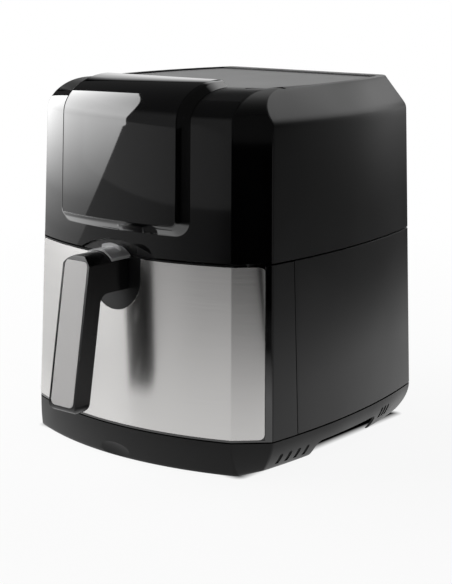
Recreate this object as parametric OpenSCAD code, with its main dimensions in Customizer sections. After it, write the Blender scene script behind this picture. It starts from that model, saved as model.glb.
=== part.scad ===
// Air fryer with a pull-out drawer: tapered plastic body, raised touch console, steel drawer skin,
// hanging handle with a sliding button cover, perforated basket in a pan, and a top heater and fan.
// Millimetres, Z up, front towards -Y, origin at the bottom centre of the whole object.

/* [Body] */
// Height from the table to the flat top
body_h = 325; // [315:1:345]
// Depth from the bow of the front to the back plane
body_d = 284; // [278:1:300]
// Width between the creases that end the side walls at the front
side_crease_w = 282; // [276:1:300]
// Width of each corner facet, seen from the front
facet_w = 26; // [21:0.5:30]
// How far each side wall comes in from its crease to the back corner
back_in = 14; // [8:0.5:16]
// Depth of the corner facets, from front crease to side crease
corner_d = 24; // [18:1:30]
// How far the front face bows forward
front_bow = 23; // [15:0.5:28]
// How far each side wall bows outward
side_bow = 11; // [6:0.5:14]
// Narrowing of the body, percent of the width for each 100 mm of height
side_taper = 2.4; // [1.5:0.1:3]
// Backward lean of the front, mm for each 100 mm of height
front_lean = 3.9; // [2:0.1:5]
// Forward lean of the back, mm for each 100 mm of height
back_lean = 1.9; // [1:0.1:3]
// Radius of the upright back corners
back_corner_r = 8; // [5:0.5:12]
// Thickness of the moulded walls
wall = 2.6; // [2.2:0.1:3]
// Height of the seam between base and body
seam_z = 31; // [29:0.5:34]
// Height of the upper housing, from the seam over the drawer to the top
upper_h = 141; // [139:0.5:146]
// Width of the seams
seam_gap = 1.2; // [0.8:0.1:1.6]
// Height of the shoulders that bend in below the top
shoulder_h = 26; // [22:1:31]
// Width of the sloped shoulder at each side
shoulder_w = 23.5; // [18:0.5:28]
// Depth of the round front shoulder
shoulder_d = 48; // [40:1:54]

/* [Console and top] */
// Width of the console between the tops of its bevels
console_w = 135; // [120:1:150]
// Height of the console's bevel foot above the middle seam
console_rise = 20; // [16:1:28]
// How far the console stands out of the front
console_raise = 6.5; // [4:0.5:8]
// Width of the rim round the display glass
console_rim = 1.4; // [1:0.2:3]
// Depth from the bow of the front to the console's rear end
console_d = 70; // [62:1:76]
// Thickness of the display glass
glass_t = 1.6; // [1:0.1:2]
// Thickness of the top plate
top_plate_t = 1.8; // [1.2:0.1:2.4]
// Rim of housing beside the top plate
top_rim = 4; // [3:0.5:7]
// Rim of housing behind the top plate
top_rim_back = 14; // [10:1:20]

/* [Drawer] */
// Depth of the drawer front's side returns behind the front creases
return_d = 55; // [50:1:60]
// Thickness of the steel skin
skin_t = 0.8; // [0.6:0.1:1]
// Share of the corner facets that the skin covers
skin_share = 0.81; // [0.6:0.01:0.9]
// Space between the chamber and each side wall at the back
chamber_in = 13.5; // [13:0.5:18]
// Height from the pan's rim to the middle seam
pan_drop = 15; // [14:0.5:20]
// Wall of the pan
pan_t = 1.2; // [1:0.1:1.6]
// Narrowing of pan and basket from rim to floor, each side
pan_draft = 5; // [3:0.5:6]
// Corner radius of pan and basket
pan_r = 30; // [22:1:36]
// Width of the pan's rim flange
flange_w = 8; // [7:0.5:9]
// Wall of the basket
basket_t = 1; // [0.8:0.1:1.2]
// Height of the basket's floor above the pan's floor
basket_lift = 11; // [8:1:16]
// Radius of the holes in the crisper plate
crisper_hole_r = 3.6; // [2.5:0.1:4.2]
// Pitch of the holes in the crisper plate
crisper_pitch = 13; // [11:0.5:18]
// Travel of the drawer
drawer_travel = 240; // [200:5:300]

/* [Handle] */
// Width of the handle
handle_w = 31; // [27:0.5:35]
// Reach of the handle in front of the body's bow
handle_reach = 62.4; // [56:0.4:68]
// Drop of the handle's lower end below the middle seam
handle_drop = 127; // [115:1:135]
// Thickness of the hanging grip
grip_t = 18; // [16:0.5:20]
// Forward slope of the hanging grip, degrees
grip_slope = 10; // [6:0.5:12]
// Height of the arm's crown above the middle seam
arm_rise = 4.5; // [3.5:0.5:5.5]
// Depth of the arm below its crown
arm_depth = 34; // [30:0.5:37]
// Radius of the arm's crowned top
crown_r = 19; // [17:0.5:24]
// Length of the sliding button cover
cover_l = 23; // [21:0.5:25]
// Thickness of the button cover
cover_t = 1.6; // [1.2:0.1:2]
// Travel of the button cover
cover_travel = 21; // [18:0.5:22]
// Travel of the release button
button_travel = 3; // [2:0.5:3.5]
// Distance from the release button to the latch lever's pin
lever_arm = 21; // [20:0.5:23]
// Radius of the latch lever's pin
latch_pin_r = 1.5; // [1.2:0.1:1.8]
// Half width of the U-shaped handle socket in the steel
socket_half_w = 28.5; // [24:0.5:32]
// Height of the handle socket below the middle seam
socket_h = 50; // [44:1:56]

/* [Air and heat] */
// Radius of the convection fan
fan_r = 53; // [46:1:54]
// Number of blades on the convection fan
fan_blades = 10; // [8:1:14]
// Radius of the heating element's outer loop
coil_r = 80; // [79:1:84]
// Distance between the heating element's two loops
coil_gap = 19; // [16:0.5:20]
// Radius of the heating element's tube
coil_tube_r = 3.2; // [2.8:0.1:3.6]
// Radius of the cooling fan
cool_fan_r = 48; // [40:1:52]
// Radius of the motor
motor_r = 33; // [28:0.5:36]
// Height of the motor
motor_h = 34; // [28:1:36]
// Radius of the motor shaft
shaft_r = 4; // [3:0.5:5]
// Radial running clearance of shaft and pins
running_gap = 0.05; // [0.03:0.01:0.08]
// Thickness of sheet metal
sheet_t = 1; // [0.8:0.1:1.2]
// Height of the deck above the middle seam
deck_rise = 12.5; // [12:0.5:15]

/* [Base] */
// How far the sides tuck in from seam to foot
base_tuck = 20; // [14:1:22]
// Height of the skirt's lower edge above the table
skirt_z = 3; // [2:0.5:4]
// Radius of the rubber feet
foot_r = 10; // [8:0.5:12]
// Height of the rubber feet
foot_h = 6; // [5:0.5:7]

/* [Hidden] */
$fn = 48;

// Clearance between pieces that are screwed or clipped together
seat_gap = 0.2;
// Clearance between the drawer front and what stays behind
drawer_gap = 1.6;
// Clearance of hubs that are pressed or screwed on the shaft
hub_gap = 0.02;

// Widths, heights and the main planes of the body at the base seam
front_face_w = side_crease_w - 2 * facet_w;
back_w = side_crease_w - 2 * back_in;
mid_seam_z = body_h - upper_h;
handle_z = mid_seam_z - handle_drop;
shoulder_z = body_h - shoulder_h;
console_z = mid_seam_z + console_rise;
socket_z = mid_seam_z - socket_h;
depth = body_d + handle_reach;
y_back = depth / 2;
y_bow = y_back - body_d;
y_crease = y_bow + front_bow;
y_return = y_crease + return_d;

// Drawer, skin and deck heights
drawer_z0 = seam_z + seam_gap / 2;
drawer_z1 = mid_seam_z - drawer_gap;
skin_z0 = seam_z + 2.5;
skin_z1 = mid_seam_z - 3;
liner_z = seam_z + 4;
pan_z = liner_z + sheet_t + 5;
pan_top = mid_seam_z - pan_drop;
pan_h = pan_top - pan_z;
deck_z = mid_seam_z + deck_rise;
deck_t = 2.5;
deck_top = deck_z + deck_t;

// Circle through a chord's ends with the given bow
function bow_r(chord, bow) = (chord * chord / 4 + bow * bow) / (2 * bow);
front_r = bow_r(front_face_w, front_bow);
front_angle = asin(front_face_w / 2 / front_r);

// Plan of the right side wall at the base seam: crease, back corner and the bowed arc between them
side_crease = [side_crease_w / 2, y_crease + corner_d];
back_corner = [back_w / 2, y_back];
side_chord = norm(back_corner - side_crease);
side_dir = (back_corner - side_crease) / side_chord;
side_r = bow_r(side_chord, side_bow);
side_half_angle = asin(side_chord / 2 / side_r);
side_tilt = atan2(-side_dir.x, side_dir.y);
corner_angle = side_tilt + side_half_angle;

front_steps = 12;
side_steps = 7;
corner_steps = 3;

function arc_point(a) =
    side_crease + side_dir * side_chord / 2
    + [side_dir.y, -side_dir.x] * (side_bow - side_r + side_r * cos(a)) + side_dir * side_r * sin(a);
side_arc = [for (i = [0 : side_steps - 1]) arc_point(side_half_angle * (2 * i / side_steps - 1))];
corner_centre = back_corner - [back_corner_r * (1 - sin(corner_angle)) / cos(corner_angle), back_corner_r];
corner_arc = [for (i = [0 : corner_steps])
    let(a = corner_angle + (90 - corner_angle) * i / corner_steps)
    corner_centre + back_corner_r * [cos(a), sin(a)]];
side_plan = concat(side_arc, corner_arc);

// Taper and lean at height z, and how far shoulders move the outline in
function taper(z) = 1 - side_taper / 10000 * (z - seam_z);
function lean_front(z) = front_lean / 100 * (z - seam_z);
function lean_back(z) = back_lean / 100 * (z - seam_z);
function shoulder_in(z) = z <= shoulder_z ? 0 : shoulder_w * (z - shoulder_z) / (body_h - shoulder_z);
function round_in(z) =
    z <= shoulder_z ? 0
    : shoulder_d * (1 - sqrt(max(0, 1 - pow((z - shoulder_z) / (body_h - shoulder_z), 2))));
function tuck_in(z) = z >= seam_z ? 0 : base_tuck * pow(1 - z / seam_z, 1.8);
front_tuck_share = 0.4;
function front_in(z) = lean_front(z) + round_in(z) + front_tuck_share * tuck_in(z);
function side_in(z) = shoulder_in(z) + tuck_in(z);

// Y of the front face at half-width u (as at the base seam) and height z
function face_y(u, z) = y_bow + front_r - sqrt(front_r * front_r - u * u) + front_in(z);

// Outline of the body at height z, counter-clockwise from the left front crease
function front_plan(z) = [for (i = [0 : front_steps])
    let(a = front_angle * (2 * i / front_steps - 1))
    [front_r * sin(a) * taper(z), y_bow + front_r * (1 - cos(a)) + front_in(z)]];
function right_plan(z) = [for (p = side_plan)
    let(t = (p.y - side_crease.y) / (back_corner.y - side_crease.y))
    [p.x * taper(z) - side_in(z), p.y + front_in(z) * (1 - t) - (lean_back(z) + 0.3 * tuck_in(z)) * t]];
function mirrored(points) = [for (i = [len(points) - 1 : -1 : 0]) [-points[i].x, points[i].y]];
function outline(z) = concat(front_plan(z), right_plan(z), mirrored(right_plan(z)));

// Points of a closed counter-clockwise outline, moved inward by d
function unit(v) = v / norm(v);
function inset(points, d) = [for (i = [0 : len(points) - 1])
    let(n = len(points), p = points[i],
        u = unit(p - points[(i + n - 1) % n]), v = unit(points[(i + 1) % n] - p),
        left = unit([-(u.y + v.y), u.x + v.x]))
    p + left * d / (left * [-u.y, u.x])];
function at_height(points, z) = [for (p = points) [p.x, p.y, z]];
function body_ring(z, d = 0) = at_height(inset(outline(z), d), z);

// Rounded rectangle of points, counter-clockwise, centred on c
function round_rect(w, d, r, c, steps = 4) = [for (q = [0 : 3], i = [0 : steps])
    let(a = 180 + 90 * q + 90 * i / steps, sx = (q == 0 || q == 3) ? -1 : 1, sy = q < 2 ? -1 : 1)
    [c.x + sx * (w / 2 - r) + r * cos(a), c.y + sy * (d / 2 - r) + r * sin(a)]];

// Solid through rings of equal length; closed joins the last ring to the first, else both are capped
module loft(rings, closed = false) {
    n = len(rings[0]);
    m = len(rings);
    sides = [for (i = [0 : closed ? m - 1 : m - 2], j = [0 : n - 1])
        let(a = i * n + j, b = ((i + 1) % m) * n + j, c = ((i + 1) % m) * n + (j + 1) % n,
            d = i * n + (j + 1) % n)
        each [[a, b, c], [a, c, d]]];
    caps = closed ? [] : [[for (j = [0 : n - 1]) j], [for (j = [n - 1 : -1 : 0]) (m - 1) * n + j]];
    polyhedron(points = [for (r = rings) each r], faces = concat(sides, caps), convexity = 10);
}

// Solid under a grid of points: top and bottom grids of equal size, rows of columns
module grid_solid(top, bottom) {
    rows = len(top);
    cols = len(top[0]);
    n = rows * cols;
    function t(i, j) = i * cols + j;
    function b(i, j) = n + i * cols + j;
    up = [for (i = [0 : rows - 2], j = [0 : cols - 2])
        each [[t(i, j), t(i + 1, j), t(i + 1, j + 1)], [t(i, j), t(i + 1, j + 1), t(i, j + 1)]]];
    down = [for (i = [0 : rows - 2], j = [0 : cols - 2])
        each [[b(i, j), b(i + 1, j + 1), b(i + 1, j)], [b(i, j), b(i, j + 1), b(i + 1, j + 1)]]];
    edge_rows = [for (j = [0 : cols - 2])
        each [[t(0, j), t(0, j + 1), b(0, j + 1)], [t(0, j), b(0, j + 1), b(0, j)],
              [t(rows - 1, j), b(rows - 1, j + 1), t(rows - 1, j + 1)],
              [t(rows - 1, j), b(rows - 1, j), b(rows - 1, j + 1)]]];
    edge_cols = [for (i = [0 : rows - 2])
        each [[t(i, 0), b(i + 1, 0), t(i + 1, 0)], [t(i, 0), b(i, 0), b(i + 1, 0)],
              [t(i, cols - 1), t(i + 1, cols - 1), b(i + 1, cols - 1)],
              [t(i, cols - 1), b(i + 1, cols - 1), b(i, cols - 1)]]];
    polyhedron(points = concat([for (r = top) each r], [for (r = bottom) each r]),
               faces = concat(up, down, edge_rows, edge_cols), convexity = 10);
}

// Filled and extruded helpers
module rounded(w, d, r) {
    hull()
        for (x = [-1, 1], y = [-1, 1])
            translate([x * (w / 2 - r), y * (d / 2 - r)]) circle(r, $fn = 32);
}
// Extrudes a side profile, drawn as (y, z), across the width w
module across(w) {
    rotate([90, 0, 90]) translate([0, 0, -w / 2]) linear_extrude(w) children();
}
// Extrudes a front profile, drawn as (x, z), from y0 back to y1
module along(y0, y1) {
    translate([0, y1, 0]) rotate([90, 0, 0]) linear_extrude(y1 - y0) children();
}
// Everything in front of y, or behind it, as a block to cut with
cut_size = 800;
module in_front_of(y) {
    translate([-cut_size / 2, y - cut_size, -cut_size / 2]) cube(cut_size);
}
module behind(y) {
    translate([-cut_size / 2, y, -cut_size / 2]) cube(cut_size);
}
module mirror_x() {
    children();
    mirror([1, 0, 0]) children();
}

// ---- Upper housing, console and top ----

housing_top_t = 5;
round_angles = [0, 15, 30, 45, 60, 75, 90];
outer_levels = concat(
    [mid_seam_z, shoulder_z - 90],
    [for (a = round_angles) shoulder_z + shoulder_h * sin(a)]);
inner_levels = [for (i = [len(outer_levels) - 1 : -1 : 0]) outer_levels[i]];
function inner_drop(z) = z < shoulder_z ? 0 : housing_top_t;

// Arched notch over the handle arm
notch_half_w = 44;
notch_rise = 11.5;
notch_r = bow_r(2 * notch_half_w, notch_rise);
module notch_profile(grow = 0) {
    intersection() {
        translate([0, mid_seam_z + notch_rise - notch_r]) circle(notch_r + grow, $fn = 96);
        translate([-notch_half_w - grow, mid_seam_z - 10]) square([2 * (notch_half_w + grow), 40]);
    }
}

// Recess for the top plate, as an outline inside the flat top
plate_front = y_bow + console_d - 2;
plate_recess_t = top_plate_t + 0.4;
module plate_outline(grow) {
    offset(r = 3 + grow) offset(delta = -3)
        intersection() {
            polygon(inset(outline(body_h), top_rim));
            translate([-cut_size / 2, plate_front])
                square([cut_size, y_back - lean_back(body_h) - top_rim_back - plate_front]);
        }
}

// Air outlet in the back wall
vent_w = 96;
vent_h = 46;
vent_z = deck_top + 14;
vent_r = 8;
module vent_profile(grow = 0) {
    translate([0, vent_z + vent_h / 2]) rounded(vent_w + 2 * grow, vent_h + 2 * grow, vent_r + grow);
}

module upper_housing() {
    color([0.06, 0.06, 0.065])
    difference() {
        loft(concat(
            [for (z = inner_levels) at_height(inset(outline(z), wall), z - inner_drop(z))],
            [for (z = outer_levels) body_ring(z)]));
        translate([0, 0, body_h - plate_recess_t]) linear_extrude(10) plate_outline(0);
        along(y_bow - 20, y_crease + 40) notch_profile();
        along(y_back - 30, y_back + 20) vent_profile();
    }
}

// Path of the console from its foot on the front, over the round shoulder, to its rear end on the top.
// Each station is a kind with its height, its angle round the shoulder or its y on the top.
console_end_y = y_bow + console_d;
function path_point(u, s) = s[0] == "top" ? [s[1], body_h, 0, 1] :
    let(a = s[0] == "round" ? s[1] : 0, z = s[0] == "round" ? shoulder_z + shoulder_h * sin(a) : s[1],
        n = unit([-cos(a) / shoulder_d, sin(a) / shoulder_h]))
    [face_y(u, z), z, n.x, n.y];
function console_point(u, s, off) = let(p = path_point(u, s))
    [u * taper(min(p[1], body_h)), p[0] + p[2] * off, p[1] + p[3] * off];
console_path = concat(
    [["front", console_z + console_raise + console_rim], ["front", shoulder_z - 45], ["front", shoulder_z]],
    [for (a = [15, 30, 45, 60, 75, 82]) ["round", a]],
    [["top", console_end_y - console_rim]]);
console_us = [for (i = [0 : 8]) (console_w / 2 - console_rim) * (i / 4 - 1) / taper(shoulder_z)];
rim_u = console_w / 2 / taper(shoulder_z);
foot_u = rim_u + console_raise;
console_cols = concat([[-foot_u, 0], [-rim_u, 1], [console_us[0], 1]], [for (u = console_us) [u, 2]],
                      [[console_us[8], 1], [rim_u, 1], [foot_u, 0]]);
console_rows = concat(
    [[["front", console_z], 0], [["front", console_z + console_raise], 1], [console_path[0], 1]],
    [for (s = console_path) [s, 2]],
    [[console_path[len(console_path) - 1], 1], [["top", console_end_y], 1], [["top", console_end_y], 0]]);
console_gap = 0.35;
console_seat = [1, console_raise, console_raise - glass_t - seat_gap];

module console_panel() {
    color([0.03, 0.03, 0.035])
    grid_solid(
        [for (r = console_rows) [for (c = console_cols)
            console_point(c[0], r[0], console_seat[min(r[1], c[1])])]],
        [for (r = console_rows) [for (c = console_cols) console_point(c[0], r[0], console_gap)]]);
}

module display_glass() {
    us = [for (u = console_us) u * (1 - seat_gap / console_w * 2)];
    stations = [for (i = [0 : len(console_path) - 1])
        i == 0 ? ["front", console_path[0][1] + seat_gap] :
        i == len(console_path) - 1 ? ["top", console_end_y - console_rim - seat_gap] : console_path[i]];
    color([0.02, 0.02, 0.025])
    grid_solid([for (s = stations) [for (u = us) console_point(u, s, console_raise)]],
               [for (s = stations) [for (u = us) console_point(u, s, console_raise - glass_t)]]);
}

module top_plate() {
    color([0.6, 0.6, 0.6])
    translate([0, 0, body_h - plate_recess_t + seat_gap])
        linear_extrude(top_plate_t) plate_outline(-0.8);
}

louvre_pitch = 6.5;
louvre_t = 1.6;
module rear_grille() {
    frame_w = 5;
    grille_t = 1;
    louvres = floor((vent_h - 2 * frame_w) / louvre_pitch);
    // The grille leans with the back wall
    color([0.08, 0.08, 0.085])
    difference() {
        along(y_back - lean_back(vent_z) - wall - grille_t, y_back - lean_back(vent_z + vent_h) - seat_gap)
            vent_profile(-seat_gap);
        for (i = [0 : louvres])
            translate([0, y_back, vent_z + frame_w + i * louvre_pitch])
                rotate([35, 0, 0])
                    translate([-vent_w / 2 + frame_w, -30, 0])
                        cube([vent_w - 2 * frame_w, 60, louvre_pitch - 2 * louvre_t]);
    }
}

// ---- Lower body, base and feet ----

gland_x = -70;
gland_z = 62;
gland_r = 7;

module lower_body() {
    z0 = drawer_z0;
    z1 = mid_seam_z - seam_gap;
    color([0.07, 0.07, 0.075])
    difference() {
        loft([body_ring(z0), body_ring(z1), body_ring(z1, wall), body_ring(z0, wall)], closed = true);
        in_front_of(y_return + drawer_gap / 2);
        translate([gland_x, y_back + 1, gland_z]) rotate([90, 0, 0]) cylinder(r = gland_r, h = 12);
    }
}

base_top = seam_z - seam_gap / 2;
web_z = 17.5;
web_t = 2.5;
web_top = web_z + web_t;
hand_y0 = y_crease + 88;
hand_w = y_back - 74 - hand_y0;
foot_spread_x = back_w / 2 - 37;
foot_front_y = y_crease + 30;
foot_back_y = y_back - 50;
post_r = foot_r + 3;
boss_r = 6;
screw_r = 2;
screw_head_r = 3.8;
screw_head_h = 2.4;
screw_seat_z = 12;
module at_feet() {
    for (x = [-foot_spread_x, foot_spread_x], y = [foot_front_y, foot_back_y])
        translate([x, y, 0]) children();
}
module side_slot(y, z0, z1) {
    slot_w = 4.4;
    translate([0, y, z0]) rotate([90, 0, 90]) translate([0, 0, -cut_size / 2]) linear_extrude(cut_size)
        union() {
            translate([-slot_w / 2, 0]) square([slot_w, z1 - z0 - slot_w / 2]);
            translate([0, z1 - z0 - slot_w / 2]) circle(slot_w / 2, $fn = 24);
        }
}
module hand_recess() {
    across(cut_size) hull() {
        translate([hand_y0, 0]) square([hand_w, 11]);
        for (y = [hand_y0 + 5, hand_y0 + hand_w - 5]) translate([y, 11.5]) circle(5);
    }
}

module base() {
    skirt_levels = [skirt_z, 6, 10, 15, 21, 26, base_top];
    color([0.1, 0.1, 0.105])
    union() {
        difference() {
            loft([for (z = skirt_levels) body_ring(z)]);
            loft([for (z = [web_top, 26, seam_z]) body_ring(z, wall)]);
            loft([for (z = [skirt_z - 1, 9, web_z]) body_ring(z, wall)]);
            for (i = [0 : 3]) side_slot(y_crease + 40 + 11.5 * i, 6.5, 17);
            for (i = [0 : 2]) side_slot(hand_y0 + hand_w + 9 + 6.5 * i, 11, web_top + 2);
            hand_recess();
            at_feet() cylinder(r = screw_head_r + 0.3, h = 40);
        }
        // Posts that carry the feet below the web and the chamber above it
        at_feet() difference() {
            union() {
                translate([0, 0, skirt_z]) cylinder(r = post_r, h = web_top - skirt_z);
                cylinder(r = boss_r, h = liner_z - seat_gap);
            }
            translate([0, 0, skirt_z - 10])
                cylinder(r = foot_r + seat_gap, h = foot_h - skirt_z + 10 + seat_gap);
            translate([0, 0, -1]) cylinder(r = screw_r + 0.1, h = 60);
            translate([0, 0, -1]) cylinder(r = screw_head_r + 0.3, h = screw_seat_z + 1);
        }
    }
}

module rubber_feet() {
    color([0.05, 0.05, 0.05])
    at_feet() rotate_extrude()
        polygon([[0, 0], [foot_r - 1, 0], [foot_r, 1], [foot_r, foot_h], [0, foot_h]]);
}

module screw(length, r = screw_r, head_r = screw_head_r, head_h = screw_head_h) {
    difference() {
        union() {
            cylinder(r = r, h = length);
            cylinder(r = head_r, h = head_h);
        }
        for (a = [0, 90]) rotate([0, 0, a]) translate([-2.2, -0.4, -1]) cube([4.4, 0.8, 2.2]);
    }
}

module base_screws() {
    color([0.55, 0.55, 0.57])
    at_feet() translate([0, 0, screw_seat_z - screw_head_h - seat_gap])
        screw(liner_z - screw_seat_z + screw_head_h - 1);
}

module bottom_plate() {
    // Sheet that closes the base under the chamber, with rows of air slots
    color([0.62, 0.63, 0.65])
    translate([0, 0, web_top + seat_gap]) linear_extrude(sheet_t)
        difference() {
            polygon(inset(outline(web_top), wall + 1));
            for (x = [-60 : 20 : 60], y = [-30, 30])
                translate([x, pan_cy + y]) square([5, 40], center = true);
            at_feet() circle(boss_r + 0.4);
        }
}

module cord_gland() {
    flange_t = 3;
    y_out = y_back - lean_back(gland_z + gland_r) - 1;
    color([0.04, 0.04, 0.04])
    translate([gland_x, y_out, gland_z]) rotate([90, 0, 0])
    difference() {
        union() {
            cylinder(r = gland_r - seat_gap, h = wall + 2);
            translate([0, 0, wall + 0.4]) cylinder(r = gland_r + 2, h = flange_t);
        }
        translate([0, 0, -1]) cylinder(r = 3.6, h = 20);
    }
}

// ---- Chamber ----

panel_y = y_return - 40;
panel_t = 2.6;
chamber_w = back_w - 2 * chamber_in;
chamber_y0 = panel_y + panel_t + 1 + sheet_t;
chamber_y1 = y_back - 15;
chamber_d = chamber_y1 - chamber_y0;
chamber_r = 12;
chamber_cy = (chamber_y0 + chamber_y1) / 2;
// Clearance of the pan's flange beside the chamber's walls, and before and behind it
pan_side_gap = 3.5;
pan_end_gap = 2;
pan_w = chamber_w - 2 * (flange_w + pan_side_gap);
pan_d = chamber_d - 2 * (flange_w + pan_end_gap);
pan_cy = chamber_cy;
mouth_w = chamber_w - pan_side_gap;
mouth_z0 = pan_z - 3;
mouth_z1 = pan_top + 5;
chamber_top = deck_z - seat_gap;

// Flat duct behind the chamber, from its back wall up to the air outlet
duct_w = vent_w - 8;
duct_y0 = chamber_y1 + sheet_t + seat_gap;
duct_y1 = y_back - lean_back(vent_z) - wall - 1.2;
duct_z0 = pan_top + 8;
duct_z1 = vent_z + vent_h - 4;
duct_hole_h = 16;

module chamber_liner() {
    color([0.68, 0.69, 0.7])
    difference() {
        translate([0, chamber_cy, liner_z]) linear_extrude(chamber_top - liner_z)
            rounded(chamber_w + 2 * sheet_t, chamber_d + 2 * sheet_t, chamber_r + sheet_t);
        translate([0, chamber_cy, liner_z + sheet_t]) linear_extrude(cut_size)
            rounded(chamber_w, chamber_d, chamber_r);
        translate([-mouth_w / 2, chamber_y0 - 20, mouth_z0])
            cube([mouth_w, 20 + chamber_r, mouth_z1 - mouth_z0]);
        translate([-duct_w / 2 + 2, chamber_y1 - 5, duct_z0 + 2]) cube([duct_w - 4, 20, duct_hole_h - 4]);
    }
}

module drawer_rails() {
    // The flange of the pan runs on the two ledges
    ledge_w = flange_w + 1;
    rail_h = 9;
    ledge_z = pan_top - pan_t - 0.3;
    outer = chamber_w / 2 - seat_gap;
    color([0.6, 0.61, 0.62])
    mirror_x() along(chamber_y0 + chamber_r + 2, chamber_y1 - chamber_r)
        polygon([
            [outer, ledge_z], [outer - ledge_w, ledge_z], [outer - ledge_w, ledge_z - sheet_t],
            [outer - sheet_t, ledge_z - sheet_t], [outer - sheet_t, ledge_z - rail_h],
            [outer, ledge_z - rail_h]]);
}

module front_frame() {
    // Moulded frame between the body and the chamber, behind the drawer front's returns
    frame_t = 3.2;
    y0 = y_return + drawer_gap / 2;
    open_w = chamber_w + 2 * sheet_t + 2 * seat_gap;
    color([0.07, 0.07, 0.075])
    difference() {
        intersection() {
            loft([body_ring(drawer_z0, wall + 0.4), body_ring(drawer_z1, wall + 0.4)]);
            translate([-cut_size / 2, y0, 0]) cube([cut_size, frame_t, body_h]);
        }
        translate([-open_w / 2, y0 - 10, liner_z - seat_gap]) cube([open_w, 30, body_h]);
    }
}

module exhaust_duct() {
    color([0.7, 0.71, 0.72])
    difference() {
        translate([-duct_w / 2, duct_y0, duct_z0]) cube([duct_w, duct_y1 - duct_y0, duct_z1 - duct_z0]);
        translate([-duct_w / 2 + sheet_t, duct_y0 + sheet_t, duct_z0 + sheet_t])
            cube([duct_w - 2 * sheet_t, duct_y1 - duct_y0 - 2 * sheet_t, duct_z1 - duct_z0 - 2 * sheet_t]);
        translate([-duct_w / 2 + 2, duct_y0 - 5, duct_z0 + 2]) cube([duct_w - 4, 8, duct_hole_h - 4]);
        translate([-duct_w / 2 + 2, duct_y1 - 3, vent_z + 3]) cube([duct_w - 4, 8, duct_z1 - vent_z - 5]);
    }
}

// ---- Deck, dome, heater and fan ----

fan_y = pan_cy;
dome_r0 = coil_r + 8;
dome_r1 = dome_r0 - 12;
dome_h = 36;
dome_flange_r = dome_r0 + 9;
coil_z = deck_z + 9;
fan_z = coil_z + coil_tube_r + 4;
fan_h = 14;
dome_z = deck_top + seat_gap;
dome_top = dome_z + dome_h;
cool_fan_z = dome_top + 7;
cool_fan_h = 10;
bracket_z = cool_fan_z + cool_fan_h + 4;
bracket_t = 1.5;
motor_z = bracket_z + bracket_t + seat_gap;
bolt_r = 1.5;
dome_bolts_r = dome_r0 + 5;
coil_inner_r = coil_r - coil_gap;
sensor_angle = 60;
fuse_angle = 120;
leg_angles = [-100, -80];
leg_r = coil_tube_r + 0.3;
joint_l = 1;
leg_hole_r = leg_r + 1.4;

module at_circle(r, count, start = 0) {
    for (i = [0 : count - 1]) rotate([0, 0, start + i * 360 / count]) translate([r, 0, 0]) children();
}
module at_legs() {
    for (a = leg_angles) rotate([0, 0, a]) translate([coil_inner_r, 0, 0]) children();
}
module at_fan() {
    translate([0, fan_y, 0]) children();
}

module deck() {
    // Plate between the drawer space and the upper housing, with bosses for the dome's screws
    color([0.2, 0.2, 0.21])
    difference() {
        translate([0, 0, deck_z]) linear_extrude(deck_t)
            difference() {
                polygon(inset(outline(deck_z), wall + 0.5));
                translate([0, fan_y]) circle(dome_r0 - 3, $fn = 96);
                for (x = [-1, 1]) translate([x * 85, y_crease + 22]) rounded(24, 10, 4);
                translate([-duct_w / 2 - 1, duct_y0 - 1]) square([duct_w + 2, 30]);
            }
        at_fan() at_circle(dome_bolts_r, 4, 45) translate([0, 0, deck_z - 1])
            cylinder(r = bolt_r + 0.1, h = 10);
    }
}

module heat_dome() {
    t = sheet_t;
    color([0.74, 0.75, 0.76])
    at_fan() difference() {
        rotate_extrude($fn = 96)
            polygon([
                [dome_r0 - 2, dome_z], [dome_flange_r, dome_z], [dome_flange_r, dome_z + t],
                [dome_r0 + t, dome_z + t], [dome_r1 + t, dome_top], [shaft_r + 3, dome_top],
                [shaft_r + 3, dome_top - t], [dome_r1, dome_top - t], [dome_r0 - 2, dome_z + t]]);
        at_circle(dome_bolts_r, 4, 45) translate([0, 0, dome_z - 1]) cylinder(r = bolt_r + 0.1, h = 10);
        at_legs() translate([0, 0, dome_z]) cylinder(r = leg_hole_r, h = 60);
        rotate([0, 0, sensor_angle]) translate([dome_r1 - 12, 0, dome_z])
            cylinder(r = sensor_r + 0.4, h = 60);
    }
}

module element_arc(r, a0, a1) {
    rotate([0, 0, a0]) rotate_extrude(angle = a1 - a0, $fn = 96)
        translate([r, 0]) circle(coil_tube_r, $fn = 24);
}
module element_joint() {
    rotate([90, 0, 0]) cylinder(r = coil_tube_r + 0.2, h = 2 * joint_l, center = true, $fn = 24);
}

module heating_element() {
    // Two concentric loops joined by hairpin bends, with both ends turned up through the dome
    bend_a = 64;
    leg_top = dome_top + 16;
    color([0.3, 0.29, 0.28])
    at_fan() translate([0, 0, coil_z]) {
        element_arc(coil_r, -180 - bend_a, bend_a);
        for (side = [0, 1]) mirror([side, 0, 0]) {
            element_arc(coil_inner_r, leg_angles[1], bend_a);
            for (r = [coil_inner_r, coil_r]) rotate([0, 0, bend_a]) translate([r, 0, 0]) element_joint();
            rotate([0, 0, bend_a]) translate([coil_inner_r + coil_gap / 2, 0, 0])
                element_arc(coil_gap / 2, 0, 180);
        }
        at_legs() translate([0, 0, -coil_tube_r - 0.4])
            cylinder(r = leg_r, h = leg_top - coil_z, $fn = 24);
    }
}

module element_bushes() {
    color([0.9, 0.88, 0.82])
    at_fan() at_legs()
        difference() {
            union() {
                translate([0, 0, dome_top - sheet_t - 3]) cylinder(r = leg_hole_r - 0.2, h = 13);
                translate([0, 0, dome_top + seat_gap]) cylinder(r = leg_hole_r + 2, h = 4);
            }
            translate([0, 0, dome_top - 10]) cylinder(r = leg_r + 0.15, h = 40);
        }
}

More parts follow.
